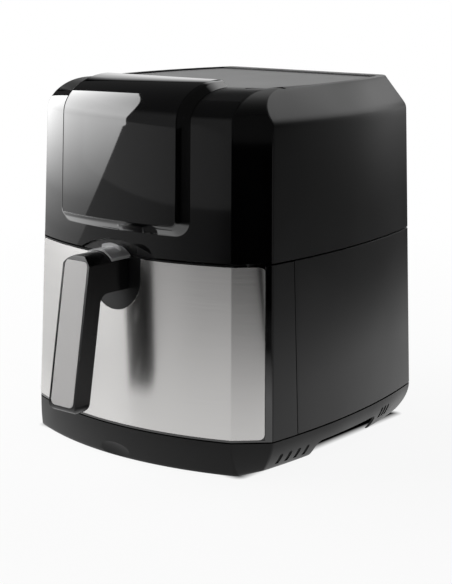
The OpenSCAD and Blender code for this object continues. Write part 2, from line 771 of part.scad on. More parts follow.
module guard_grille() {
    // Rings and spokes of wire under the heating element
    wire_r = 1.2;
    z = deck_z - 2.4;
    rim_r = dome_r0 + 2;
    color([0.75, 0.75, 0.76])
    at_fan() translate([0, 0, z]) union() {
        for (r = [22 : 22 : rim_r])
            rotate_extrude($fn = 72) translate([r, 0]) square(2 * wire_r, center = true);
        rotate_extrude($fn = 96) translate([rim_r, 0]) square([2 * wire_r + 2, 2 * wire_r], center = true);
        for (a = [0 : 45 : 135]) rotate([0, 0, a])
            translate([-rim_r, -wire_r, -wire_r]) cube([2 * rim_r, 2 * wire_r, 2 * wire_r]);
    }
}

// Curved blade between two radii, drawn flat
module blade_2d(r0, r1, sweep, t) {
    steps = 6;
    function at(i, off) = let(s = i / steps, r = r0 + (r1 - r0) * s, a = sweep * s * s)
        [r * cos(a) - off * sin(a), r * sin(a) + off * cos(a)];
    polygon(concat([for (i = [0 : steps]) at(i, -t / 2)], [for (i = [steps : -1 : 0]) at(i, t / 2)]));
}

module convection_fan() {
    hub_r = 9;
    color([0.72, 0.73, 0.74])
    at_fan() difference() {
        union() {
            translate([0, 0, fan_z + fan_h - sheet_t]) cylinder(r = fan_r - 12, h = sheet_t, $fn = 72);
            translate([0, 0, fan_z]) linear_extrude(fan_h)
                for (i = [0 : fan_blades - 1]) rotate([0, 0, i * 360 / fan_blades])
                    blade_2d(hub_r - 1, fan_r, 26, 1.2);
            translate([0, 0, fan_z - 1]) cylinder(r = hub_r, h = fan_h + 3);
        }
        translate([0, 0, fan_z - 5]) cylinder(r = shaft_r + hub_gap, h = fan_h + 20);
    }
}

shaft_z0 = fan_z - 9;
shaft_z1 = motor_z + motor_h + 9;
module fan_nut() {
    color([0.7, 0.68, 0.6])
    at_fan() difference() {
        union() {
            translate([0, 0, fan_z - 7]) cylinder(r = 6.5, h = 5.8, $fn = 6);
            translate([0, 0, fan_z - 2.2]) cylinder(r = 8, h = 1);
        }
        translate([0, 0, fan_z - 9]) cylinder(r = shaft_r + hub_gap, h = 12);
    }
}

module motor_shaft() {
    color([0.8, 0.8, 0.82])
    at_fan() translate([0, 0, shaft_z0]) cylinder(r = shaft_r, h = shaft_z1 - shaft_z0);
}

module cooling_fan() {
    hub_r = 8;
    color([0.78, 0.79, 0.8])
    at_fan() difference() {
        union() {
            translate([0, 0, cool_fan_z]) cylinder(r = cool_fan_r, h = sheet_t, $fn = 72);
            translate([0, 0, cool_fan_z]) linear_extrude(cool_fan_h)
                for (i = [0 : 7]) rotate([0, 0, i * 45]) blade_2d(hub_r - 1, cool_fan_r, -18, 1.2);
            translate([0, 0, cool_fan_z]) cylinder(r = hub_r, h = cool_fan_h + 2);
        }
        translate([0, 0, cool_fan_z - 5]) cylinder(r = shaft_r + hub_gap, h = cool_fan_h + 20);
    }
}

bracket_leg_r = 62;
bracket_leg_y = [-30, 30];
bracket_w = 24;
module at_motor_screws() {
    for (s = [-1, 1]) translate([s * (motor_r + 5), 0, 0]) children();
}
module motor_bracket() {
    // Bridge over the cooling fan, standing on the dome
    leg_w = 14;
    color([0.66, 0.67, 0.69])
    at_fan() difference() {
        union() {
            translate([0, 0, bracket_z]) linear_extrude(bracket_t) difference() {
                rounded(2 * bracket_leg_r, bracket_w + 44, 6);
                circle(shaft_r + 8);
            }
            for (x = [-1, 1], y = bracket_leg_y) {
                translate([x * (bracket_leg_r - bracket_t / 2) - bracket_t / 2, y - leg_w / 2, dome_top + seat_gap])
                    cube([bracket_t, leg_w - 4, bracket_z + bracket_t - dome_top - seat_gap]);
                translate([x > 0 ? bracket_leg_r - bracket_t : -bracket_leg_r - 7 + bracket_t,
                           y - leg_w / 2, dome_top + seat_gap])
                    cube([7, leg_w - 4, bracket_t]);
            }
        }
        at_motor_screws() translate([0, 0, bracket_z - 1]) cylinder(r = screw_r + 0.1, h = 5);
    }
}

bearing_r = 9;
bearing_h = 6;
module motor() {
    color([0.35, 0.35, 0.37])
    at_fan() translate([0, 0, motor_z]) difference() {
        union() {
            // Laminated stack between two end bells with lugs
            translate([0, 0, 9]) cylinder(r = motor_r, h = motor_h - 18, $fn = 72);
            cylinder(r1 = motor_r - 5, r2 = motor_r - 2, h = 9.5);
            translate([0, 0, motor_h - 9.5]) cylinder(r1 = motor_r - 2, r2 = motor_r - 8, h = 9.5);
            linear_extrude(3) hull() {
                circle(motor_r - 6);
                at_motor_screws() circle(5, $fn = 32);
            }
        }
        translate([0, 0, -1]) cylinder(r = shaft_r + 2, h = motor_h + 2);
        translate([0, 0, -1]) cylinder(r = bearing_r, h = bearing_h + 1);
        translate([0, 0, motor_h - bearing_h]) cylinder(r = bearing_r, h = bearing_h + 1);
        at_motor_screws() translate([0, 0, -1]) cylinder(r = screw_r + 0.1, h = 5);
    }
}

module motor_bearings() {
    color([0.75, 0.6, 0.3])
    at_fan() for (z = [motor_z, motor_z + motor_h - bearing_h])
        translate([0, 0, z]) difference() {
            cylinder(r = bearing_r, h = bearing_h);
            translate([0, 0, -1]) cylinder(r = shaft_r + running_gap, h = bearing_h + 2);
        }
}

module motor_screws() {
    // Heads on the motor's lugs, tips through the bracket; four more hold the dome to the deck
    color([0.55, 0.55, 0.57])
    at_fan() {
        at_motor_screws() translate([0, 0, motor_z + 3 + screw_head_h + seat_gap]) mirror([0, 0, 1])
            screw(screw_head_h + 3 + bracket_t + 2);
        at_circle(dome_bolts_r, 4, 45)
            translate([0, 0, dome_z + sheet_t + 2 + seat_gap]) mirror([0, 0, 1])
                screw(2 + sheet_t + deck_t + 1, bolt_r, 3, 2);
    }
}

// ---- Electronics ----

display_inset = 26;
display_rise = 14;
display_drop = 16;
display_board_y = y_bow + display_inset;
display_board_z = [console_z + display_rise, shoulder_z - display_drop];
power_board_y = display_board_y + 10;
board_w = 116;
board_t = 1.6;
digit_block = [52, 7, 20];
digit_drop = 36;
touch_x = board_w / 2 - 16;
touch_r = 4;
touch_pitch = 14;
power_board_h = 72;
transformer = [26, 16, 22];
relay = [20, 14, 15];
capacitor_r = 7;
parts_rise = 40;
module board_carrier() {
    // Moulded frame that stands on the deck and holds the display board and the power board back to back
    carrier_t = 3;
    y0 = display_board_y + board_t + seat_gap;
    y1 = power_board_y - seat_gap;
    color([0.85, 0.85, 0.83])
    union() {
        for (x = [-board_w / 2 + 4, board_w / 2 - 4 - carrier_t])
            translate([x, y0, deck_top + seat_gap])
                cube([carrier_t, y1 - y0, display_board_z[1] - deck_top - seat_gap]);
        for (z = [deck_top + seat_gap, display_board_z[1] - carrier_t])
            translate([-board_w / 2 + 4, y0, z]) cube([board_w - 8, y1 - y0, carrier_t]);
    }
}

module display_board() {
    h = display_board_z[1] - display_board_z[0];
    color([0.05, 0.3, 0.18])
    translate([0, display_board_y, display_board_z[0]]) {
        translate([-board_w / 2, 0, 0]) cube([board_w, board_t, h]);
        // Digit block and a column of touch springs at each side
        translate([-digit_block.x / 2, -digit_block.y, h - digit_drop])
            cube(digit_block + [0, 0.1, 0]);
        for (x = [-touch_x, touch_x], z = [touch_pitch - touch_r : touch_pitch : h - touch_pitch])
            translate([x, 0.1, z]) rotate([90, 0, 0]) cylinder(r = touch_r, h = 2 * touch_r);
    }
}

module power_board() {
    color([0.5, 0.4, 0.2])
    translate([0, power_board_y, deck_top + 5]) {
        translate([-board_w / 2, 0, 0]) cube([board_w, board_t, power_board_h]);
        translate([-board_w / 2 + 10, board_t - 0.1, parts_rise]) cube(transformer);
        translate([relay.x, board_t - 0.1, parts_rise]) cube(relay);
        translate([0, board_t + capacitor_r - 0.1, parts_rise]) cylinder(r = capacitor_r, h = relay.x);
    }
}

sensor_r = 3;
sensor_plate = [16, 12, 1.5];
fuse_plate = [10, 24, 1.5];
module at_sensor(a) {
    at_fan() rotate([0, 0, a]) translate([dome_r1 - 12, 0, dome_top + seat_gap]) children();
}
module temperature_sensor() {
    // Probe through the dome's top, held by its plate
    color([0.75, 0.75, 0.77])
    at_sensor(sensor_angle) union() {
        translate([-sensor_plate.x / 2, -sensor_plate.y / 2, 0]) cube(sensor_plate);
        translate([0, 0, -10]) cylinder(r = sensor_r, h = 18);
    }
}

module thermal_fuse() {
    fuse_r = 4.5;
    color([0.8, 0.78, 0.7])
    at_sensor(fuse_angle) union() {
        translate([-fuse_plate.x / 2, -fuse_plate.y / 2, 0]) cube(fuse_plate);
        cylinder(r = fuse_r, h = 9);
    }
}

module drawer_switch() {
    // Closed micro switch on top of the deck; its lever reaches the drawer space through a slot
    color([0.15, 0.15, 0.16])
    translate([75, y_crease + 17, deck_top + seat_gap]) difference() {
        cube([20, 10, 14]);
        for (x = [5, 15]) translate([x, -1, 9]) rotate([-90, 0, 0]) cylinder(r = 1.4, h = 12);
    }
}

// ---- Drawer front, skin and socket ----

socket_t = 3.4;
cap_front = socket_t - 0.4;
cap_back = cap_front + 3;
module socket_profile(grow = 0) {
    r = socket_half_w + grow;
    hull() {
        translate([0, socket_z + socket_half_w]) circle(r, $fn = 64);
        translate([-r, drawer_z1 + 4]) square([2 * r, 1]);
    }
}

// Cavity between the outer walls of the hollow front
front_wall_d = wall + skin_t + seat_gap;
module drawer_front() {
    z0 = drawer_z0;
    z1 = drawer_z1;
    color([0.07, 0.07, 0.075])
    difference() {
        loft([body_ring(z0), body_ring(z1)]);
        // Hollow behind the face, open to the rear, with floor and roof only in front of the panel
        difference() {
            loft([body_ring(z0 - 1, front_wall_d), body_ring(z1 + 1, front_wall_d)]);
            for (z = [z0 - 5, z1 - wall])
                translate([-cut_size / 2, y_bow - 20, z])
                    cube([cut_size, panel_y - seat_gap - y_bow + 20, wall + 5]);
        }
        behind(y_return);
        skin_band(skin_z0 - seat_gap, skin_z1 + seat_gap, -1, skin_t + seat_gap, 2 * seat_gap);
        along(y_bow - 20, face_y(socket_half_w, mid_seam_z) + cap_back + 1) socket_profile(seat_gap);
    }
}

// Band of the outer wall between depths d0 and d1, ending on both corner facets at the skin's share
skin_end_y = y_crease + skin_share * corner_d;
module skin_band(z0, z1, d0, d1, gap = 0) {
    difference() {
        loft([body_ring(z0, d0), body_ring(z1, d0)]);
        loft([body_ring(z0 - 1, d1), body_ring(z1 + 1, d1)]);
        translate([0, skin_end_y + gap, seam_z]) rotate([-atan(front_lean / 100), 0, 0]) behind(0);
    }
}

module steel_skin() {
    color([0.75, 0.75, 0.76])
    difference() {
        skin_band(skin_z0, skin_z1, 0, skin_t);
        along(y_bow - 20, y_crease + 30) socket_profile(0);
    }
}

module drawer_panel() {
    // Closes the hollow front and carries the pan
    d = wall + skin_t + 2 * seat_gap;
    color([0.12, 0.12, 0.125])
    difference() {
        intersection() {
            loft([body_ring(drawer_z0, d), body_ring(drawer_z1, d)]);
            translate([-cut_size / 2, panel_y, 0]) cube([cut_size, panel_t, body_h]);
        }
        translate([-strap_w / 2 - 1, panel_y - 5, strap_z - 1]) cube([strap_w + 2, 20, 60]);
        at_pan_screws() translate([0, panel_y - 5, 0]) rotate([-90, 0, 0])
            cylinder(r = screw_r + 0.1, h = 20);
    }
}

module handle_socket() {
    // U-shaped moulding round the arm, with an arched cap that fills the notch above it
    color([0.05, 0.05, 0.055])
    difference() {
        union() {
            intersection() {
                along(y_bow - 20, y_crease + 30) socket_profile(-seat_gap);
                difference() {
                    loft([body_ring(socket_z - 10, 0.6), body_ring(drawer_z1, 0.6)]);
                    loft([body_ring(socket_z - 20, 0.6 + socket_t), body_ring(drawer_z1 + 5, 0.6 + socket_t)]);
                }
            }
            intersection() {
                along(y_bow - 20, y_crease + 30) union() {
                    intersection() {
                        notch_profile(-1);
                        translate([-notch_half_w, drawer_z1 + 0.4]) square([2 * notch_half_w, 40]);
                    }
                    translate([-socket_half_w + seat_gap, drawer_z1 - 4])
                        square([2 * (socket_half_w - seat_gap), 6]);
                }
                difference() {
                    loft([body_ring(drawer_z1 - 10, cap_front), body_ring(mid_seam_z + 20, cap_front)]);
                    loft([body_ring(drawer_z1 - 20, cap_back), body_ring(mid_seam_z + 30, cap_back)]);
                }
            }
        }
        // Recess for the rear end of the button cover
        translate([-handle_w / 2 - seat_gap, y_bow - 20, crown_edge_z])
            cube([handle_w + 2 * seat_gap, cover_rear + seat_gap - y_bow + 20, crown_r]);
        // Window for the latch lever
        translate([-lever_w / 2 - 2, y_bow - 20, lever_z - 6]) cube([lever_w + 4, 60, 11]);
        at_socket_screws() translate([0, y_bow - 20, 0]) rotate([-90, 0, 0])
            cylinder(r = screw_r + 0.1, h = 60);
    }
}

// ---- Pan and basket ----

pan_fillet = 8;
function tub_ring(w, d, r, z, top, h, draft) = let(in = draft * (top - z) / h)
    at_height(round_rect(w - 2 * in, d - 2 * in, r, [0, pan_cy], 4), z);

module pan() {
    w = pan_w;
    d = pan_d;
    t = pan_t;
    f = pan_fillet;
    function ring(grow, r, z, draft) = tub_ring(w + grow, d + grow, r, z, pan_top, pan_h, draft);
    color([0.13, 0.13, 0.135])
    loft([
        ring(-2 * f, pan_r, pan_z, pan_draft),
        ring(-0.6 * f, pan_r, pan_z + 0.25 * f, pan_draft),
        ring(0, pan_r, pan_z + f, pan_draft),
        ring(0, pan_r, pan_top - t, pan_draft),
        ring(2 * flange_w, pan_r + flange_w, pan_top - t, 0),
        ring(2 * flange_w, pan_r + flange_w, pan_top, 0),
        ring(-2 * t, pan_r - t, pan_top, pan_draft),
        ring(-2 * t, pan_r - t, pan_z + f, pan_draft),
        ring(-2 * t - 0.6 * f, pan_r - t, pan_z + t + 0.25 * f, pan_draft),
        ring(-2 * f, pan_r - t, pan_z + t, pan_draft)]);
}

pan_screw_x = 52;
pan_screw_z = [pan_z + 32, pan_top - 48];
module at_pan_screws() {
    for (x = [-pan_screw_x, pan_screw_x], z = pan_screw_z) translate([x, 0, z]) children();
}
module pan_brackets() {
    // Two folded brackets between the panel and the pan's front wall
    front = panel_y + panel_t + seat_gap;
    rear = pan_cy - pan_d / 2 - seat_gap;
    z0 = pan_z + 24;
    z1 = pan_top - pan_t - 6;
    color([0.6, 0.61, 0.62])
    difference() {
        for (x = [-pan_screw_x, pan_screw_x]) translate([x, 0, 0]) {
            translate([-12, front, z0]) cube([24, 1.5, z1 - z0]);
            translate([-12, rear - 1.5, z0]) cube([24, 1.5, z1 - z0]);
            translate([-12, front, z0]) cube([1.5, rear - front, z1 - z0]);
        }
        at_pan_screws() translate([0, panel_y, 0]) rotate([-90, 0, 0]) cylinder(r = screw_r + 0.1, h = 6);
    }
}

basket_z = pan_z + pan_t + basket_lift;
basket_top = pan_top + 0.4 + basket_t;
basket_gap = 3;
basket_w = pan_w - 2 * pan_t - 2 * basket_gap;
basket_d = pan_d - 2 * pan_t - 2 * basket_gap;
basket_r = pan_r - pan_t - basket_gap;
basket_h = basket_top - basket_z;
basket_lip = 9;
module basket() {
    t = basket_t;
    r = basket_r;
    floor_in = 2 * (pan_draft + t + basket_lip);
    slot_z0 = basket_z + 16;
    function ring(grow, r, z, draft) =
        tub_ring(basket_w + grow, basket_d + grow, r, z, basket_top, basket_h, draft);
    color([0.1, 0.1, 0.105])
    difference() {
        loft([
            ring(0, r, basket_z, pan_draft),
            ring(0, r, basket_top - t, pan_draft),
            ring(2 * flange_w, r + flange_w, basket_top - t, 0),
            ring(2 * flange_w, r + flange_w, basket_top, 0),
            ring(-2 * t, r - t, basket_top, pan_draft),
            ring(-2 * t, r - t, basket_z + t, pan_draft)]);
        translate([0, pan_cy, basket_z - 1]) linear_extrude(20)
            rounded(basket_w - floor_in, basket_d - floor_in, max(r - basket_lip, 5));
        // Upright air slots round the lower wall
        for (x = [-4 : 4]) translate([x * 15 - 2, pan_cy - cut_size / 2, slot_z0]) cube([4, cut_size, 22]);
        for (y = [-4 : 4]) translate([-cut_size / 2, pan_cy + y * 15 - 2, slot_z0]) cube([cut_size, 4, 22]);
    }
}

module crisper_plate() {
    w = basket_w - 2 * pan_draft - 2 * basket_t - 2.4;
    d = basket_d - 2 * pan_draft - 2 * basket_t - 2.4;
    nx = floor((w / 2 - 14) / crisper_pitch);
    ny = floor((d / 2 - 14) / crisper_pitch);
    color([0.16, 0.16, 0.165])
    translate([0, pan_cy, basket_z + basket_t + seat_gap]) linear_extrude(1.5)
        difference() {
            rounded(w, d, basket_r - basket_t - 1.2);
            for (i = [-nx : nx], j = [-ny : ny])
                if (norm([max(abs(i) - nx + 1, 0), max(abs(j) - ny + 1, 0)]) < 1.2)
                    translate([i, j] * crisper_pitch) circle(crisper_hole_r, $fn = 24);
        }
}

module crisper_bumpers() {
    // Silicone caps at the middle of the plate's four edges
    w = basket_w - 2 * pan_draft - 2 * basket_t - 2.4;
    d = basket_d - 2 * pan_draft - 2 * basket_t - 2.4;
    z = basket_z + basket_t + seat_gap + 1.5 + seat_gap;
    color([0.2, 0.2, 0.2])
    for (a = [0, 90, 180, 270])
        translate([0, pan_cy, z]) rotate([0, 0, a])
            translate([(a % 180 == 0 ? w : d) / 2 - 6, 0, 0]) linear_extrude(5) rounded(10, 22, 4);
}

strap_w = 22;
strap_z = basket_top + 0.3;
strap_t = 1.6;
module basket_strap() {
    // Steel strap from the latch bracket to the basket's front rim
    y0 = latch_plate_y + 2;
    y1 = pan_cy - basket_d / 2 + 2;
    color([0.7, 0.71, 0.72])
    translate([-strap_w / 2, y0, strap_z]) cube([strap_w, y1 - y0, strap_t]);
}

// ---- Handle and latch ----

crown_z = mid_seam_z + arm_rise;
crown_edge_z = crown_z - crown_r + sqrt(crown_r * crown_r - handle_w * handle_w / 4);
arm_z = crown_z - arm_depth;
arm_rear = face_y(0, arm_z) + 0.6 - seat_gap;
inlay_z = 3;
inlay_gap = 0.15;
grip_y = -depth / 2 + grip_t / 2 * cos(grip_slope) - (inlay_z + inlay_gap) * sin(grip_slope);
grip_l = (crown_z - handle_z) / cos(grip_slope);
arm_front = grip_y + grip_l * sin(grip_slope);
cover_rear = face_y(0, mid_seam_z) + 2.4;
button_y = cover_rear - cover_l / 2 - 1.5;
button_w = 15;
button_h = 5;
button_top = crown_z - 3;
stem_r = 2.6;
pocket_w = button_w + 1;
pocket_z = crown_z - 16.5;
pocket_floor_t = 3;
lever_w = 8;
lever_t = 3.5;
lever_top = pocket_z - pocket_floor_t - 3;
lever_z = lever_top - 2;
lever_pin_y = button_y + lever_arm;
latch_plate_y = arm_rear + socket_t + 1.8;
latch_plate_t = 1.2;
hook_drop = 17;
socket_screw_x = 11.8;
socket_screw_z = crown_z - 28;

// Places children in the frame of the hanging grip: origin at its lower end, Z along it
module grip_frame() {
    translate([0, grip_y, handle_z]) rotate([-grip_slope, 0, 0]) children();
}
module at_socket_screws() {
    for (x = [-socket_screw_x, socket_screw_x]) translate([x, 0, socket_screw_z]) children();
}

module handle_profile() {
    fillet = 9;
    round_r = 6;
    offset(r = round_r) offset(delta = -round_r)
        offset(r = -fillet) offset(delta = fillet)
            intersection() {
                union() {
                    translate([grip_y, handle_z]) rotate(-grip_slope)
                        translate([-grip_t / 2, 0]) square([grip_t, grip_l + 5]);
                    translate([arm_front, arm_z]) square([arm_rear + 20 - arm_front, arm_depth]);
                }
                translate([-cut_size / 2, crown_z - cut_size]) square(cut_size);
            }
}
module crown_profile() {
    lower_r = 7;
    intersection() {
        translate([-handle_w / 2, 0]) square([handle_w, body_h]);
        union() {
            translate([0, crown_z - crown_r]) circle(crown_r, $fn = 72);
            hull() {
                for (x = [-1, 1]) translate([x * (handle_w / 2 - lower_r), handle_z + lower_r - 1])
                    circle(lower_r);
                translate([-handle_w / 2, crown_edge_z - 1]) square([handle_w, 1]);
            }
        }
    }
}
module handle_solid() {
    edge_r = 5;
    intersection() {
        along(-depth / 2 - 1, arm_rear) crown_profile();
        across(handle_w + 2) handle_profile();
        union() {
            grip_frame() translate([0, 0, -5]) linear_extrude(grip_l + 20) rounded(handle_w, grip_t, edge_r);
            grip_frame() translate([-handle_w / 2, 0, grip_l - arm_depth - 14])
                cube([handle_w, depth, arm_depth + 30]);
        }
    }
}

inlay_margin = 2;
inlay_t = 1.4;
inlay_l = grip_l - 9;
inlay_r = 5;
back_strip_w = handle_w - 8;
back_l = grip_l - arm_depth - 24;
back_z = 7;
back_t = 2.2;
module on_grip_front(t, margin, length, z) {
    grip_frame() translate([0, -grip_t / 2 + t, z + length / 2]) rotate([90, 0, 0])
        linear_extrude(t + 1) rounded(handle_w - 2 * margin, length, inlay_r);
}
module at_handle_screws() {
    for (z = [back_z + 12, back_z + back_l - 12]) translate([0, grip_t / 2, z]) rotate([90, 0, 0]) children();
}

module handle_shell() {
    hollow_w = back_strip_w - 4;
    hollow_y = -grip_t / 2 + inlay_t + 2.5;
    color([0.05, 0.05, 0.055])
    difference() {
        handle_solid();
        on_grip_front(inlay_t, inlay_margin, inlay_l, inlay_z);
        // Hollow grip, open to the rear, with two screw posts
        grip_frame() {
            difference() {
                translate([-hollow_w / 2, hollow_y, back_z + 2]) cube([hollow_w, grip_t, back_l - 4]);
                at_handle_screws() translate([0, 0, back_t + seat_gap]) cylinder(r = 4, h = grip_t);
            }
            translate([-back_strip_w / 2, grip_t / 2 - back_t, back_z]) cube([back_strip_w, 10, back_l]);
            at_handle_screws() translate([0, 0, -1]) cylinder(r = 1.6, h = 11);
        }
        // Button pocket with the stem's hole in its floor, and the lever's space below it
        translate([-pocket_w / 2, button_y - pocket_w / 2, pocket_z]) cube([pocket_w, pocket_w, arm_depth]);
        translate([0, button_y, pocket_z - 10]) cylinder(r = stem_r + 0.2, h = 20);
        translate([-lever_w / 2 - 2, button_y - 8, lever_z - 7])
            cube([lever_w + 4, 60, lever_top - lever_z + 10]);
        at_socket_screws() translate([0, arm_rear - 9, 0]) rotate([-90, 0, 0])
            cylinder(r = screw_r + 0.1, h = 20);
    }
}

module handle_back() {
    color([0.06, 0.06, 0.065])
    grip_frame() difference() {
        translate([-back_strip_w / 2 + seat_gap, grip_t / 2 - back_t + seat_gap, back_z + seat_gap])
            cube([back_strip_w - 2 * seat_gap, back_t - seat_gap, back_l - 2 * seat_gap]);
        at_handle_screws() translate([0, 0, -1]) cylinder(r = 1.7, h = 10);
        at_handle_screws() translate([0, 0, -1]) cylinder(r = 3.1, h = 2.2);
    }
}

module handle_inlay() {
    g = inlay_gap;
    color([0.78, 0.78, 0.79])
    grip_frame() translate([0, -grip_t / 2 + inlay_t - g, inlay_z + inlay_l / 2]) rotate([90, 0, 0])
        linear_extrude(inlay_t - g)
            rounded(handle_w - 2 * inlay_margin - 2 * g, inlay_l - 2 * g, inlay_r - g);
}

module handle_screws() {
    color([0.55, 0.55, 0.57])
    grip_frame() at_handle_screws() translate([0, 0, 0.1]) screw(9, 1.5, 2.9, 1);
}

module latch_bracket() {
    // Plate behind the socket with two ears for the lever's pin and a shelf under the strap
    plate_w = 2 * socket_screw_x + 8;
    plate_z0 = socket_screw_z - 8;
    ear_in = lever_w / 2 + 1.8;
    ear_t = 1.5;
    rear = lever_pin_y + 5;
    top = strap_z - 0.3;
    color([0.66, 0.67, 0.69])
    difference() {
        union() {
            translate([-plate_w / 2, latch_plate_y, plate_z0]) cube([plate_w, latch_plate_t, top - plate_z0]);
            for (s = [-1, 1]) translate([s > 0 ? ear_in : -ear_in - ear_t, latch_plate_y, lever_z - 6])
                cube([ear_t, rear - latch_plate_y, top - lever_z + 6]);
            translate([-ear_in - ear_t, latch_plate_y, top - 1.5])
                cube([2 * (ear_in + ear_t), rear - latch_plate_y, 1.5]);
        }
        translate([-ear_in, latch_plate_y - 1, lever_z - 9]) cube([2 * ear_in, 4, top - 1.5 - lever_z + 9]);
        translate([-20, lever_pin_y, lever_z]) rotate([0, 90, 0]) cylinder(r = latch_pin_r + 0.02, h = 40);
        at_socket_screws() translate([0, latch_plate_y - 5, 0]) rotate([-90, 0, 0])
            cylinder(r = screw_r + 0.1, h = 10);
    }
}

module latch_pin() {
    half = lever_w / 2 + 1.8 + 1.5 + 0.6;
    color([0.8, 0.8, 0.82])
    translate([-half, lever_pin_y, lever_z]) rotate([0, 90, 0]) cylinder(r = latch_pin_r, h = 2 * half);
}

module latch_lever() {
    // Rocker under the button, with a hook that hangs from its hub
    hub_r = 4;
    hook_t = 3;
    barb = 3;
    color([0.85, 0.85, 0.83])
    translate([-lever_w / 2, 0, 0]) difference() {
        union() {
            translate([0, button_y - 4, lever_top - lever_t])
                cube([lever_w, lever_pin_y - button_y + 4, lever_t]);
            translate([-1.5, lever_pin_y, lever_z]) rotate([0, 90, 0]) cylinder(r = hub_r, h = lever_w + 3);
            translate([0, lever_pin_y - hook_t / 2, lever_z - hook_drop]) cube([lever_w, hook_t, hook_drop]);
            translate([0, lever_pin_y - hook_t / 2 - barb, lever_z - hook_drop])
                cube([lever_w, barb + 1, 2.4]);
        }
        translate([-5, lever_pin_y, lever_z]) rotate([0, 90, 0])
            cylinder(r = latch_pin_r + running_gap, h = lever_w + 10);
    }
}

module pan_catch() {
    // Loop on the panel that the hook's barb holds from below
    loop_w = lever_w + 12;
    bar = 2;
    z = lever_z - hook_drop + 2.4 + 0.4;
    y0 = lever_pin_y - 1.5 - 3.4;
    color([0.66, 0.67, 0.69])
    union() {
        translate([-loop_w / 2, y0, z]) cube([loop_w, 2.4, bar]);
        for (s = [-1, 1])
            translate([s > 0 ? loop_w / 2 - bar : -loop_w / 2, y0, z])
                cube([bar, panel_y - seat_gap - y0, bar]);
        translate([-loop_w / 2, panel_y - seat_gap - 1.5, z - 8]) cube([loop_w, 1.5, 18]);
    }
}

module release_button() {
    dish_r = 30;
    color([0.12, 0.12, 0.125])
    difference() {
        union() {
            translate([0, button_y, button_top - button_h]) linear_extrude(button_h)
                rounded(button_w, button_w, 4);
            translate([0, button_y, lever_top + 0.6]) cylinder(r = stem_r, h = button_top - lever_top - 2);
        }
        translate([0, button_y, button_top + dish_r - 0.8]) sphere(dish_r, $fn = 64);
    }
}

module button_spring() {
    // Helix between the pocket's floor and the button
    turns = 4;
    per_turn = 12;
    wire_r = 0.4;
    coil_mean_r = stem_r + 1.6;
    z0 = pocket_z + wire_r + 0.15;
    z1 = button_top - button_h - wire_r - 0.15;
    steps = turns * per_turn;
    rings = [for (i = [0 : steps])
        let(a = 360 * i / per_turn, c = [cos(a), sin(a)])
        [for (k = [0 : 5]) let(b = -60 * k, r = coil_mean_r + wire_r * cos(b))
            [r * c.x, button_y + r * c.y, z0 + (z1 - z0) * i / steps + wire_r * sin(b)]]];
    color([0.75, 0.75, 0.77])
    loft(rings);
}

module button_cover() {
    // Clear vaulted slider over the button, with a raised lip to pull
    r_in = crown_r + 0.3;
    r_out = r_in + cover_t;
    lip_w = 21;
    lip_h = 2.6;
    centre_z = crown_z - crown_r;
    module sector(r0, r1, half) {
        intersection() {
            difference() {
                translate([0, centre_z]) circle(r1, $fn = 96);
                translate([0, centre_z]) circle(r0, $fn = 96);
            }
            translate([-half, centre_z]) square([2 * half, crown_r + 20]);
        }
    }
    color([0.8, 0.82, 0.84, 0.4])
    union() {
        along(cover_rear - cover_l, cover_rear) sector(r_in, r_out, handle_w / 2);
        along(cover_rear - 8, cover_rear - 6) sector(r_in + cover_t / 2, r_out + lip_h, lip_w / 2);
    }
}

module drawer_screws() {
    color([0.55, 0.55, 0.57])
    union() {
        at_socket_screws() translate([0, latch_plate_y + latch_plate_t + seat_gap + screw_head_h, 0])
            rotate([90, 0, 0]) screw(screw_head_h + latch_plate_t + 13);
        at_pan_screws() translate([0, panel_y - screw_head_h - seat_gap, 0]) rotate([-90, 0, 0])
            screw(screw_head_h + panel_t + 4);
    }
}

upper_housing();
console_panel();
display_glass();
top_plate();
lower_body();
base();
bottom_plate();
rubber_feet();
base_screws();
front_frame();
chamber_liner();
drawer_rails();
deck();
heat_dome();
heating_element();
element_bushes();
guard_grille();
motor_bracket();
motor();
motor_bearings();
motor_screws();
convection_fan();
fan_nut();
motor_shaft();
cooling_fan();
exhaust_duct();
rear_grille();
display_board();
power_board();
board_carrier();
temperature_sensor();
thermal_fuse();
drawer_switch();
cord_gland();
drawer_front();
steel_skin();
drawer_panel();
handle_socket();
pan();
pan_brackets();
basket();
crisper_plate();
crisper_bumpers();
basket_strap();
handle_shell();
handle_back();
handle_inlay();
handle_screws();
latch_bracket();
latch_pin();
latch_lever();
pan_catch();
release_button();
button_spring();
button_cover();
drawer_screws();
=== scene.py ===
"""Air fryer: mesh code and finishes for the pieces that show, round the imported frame."""
import math

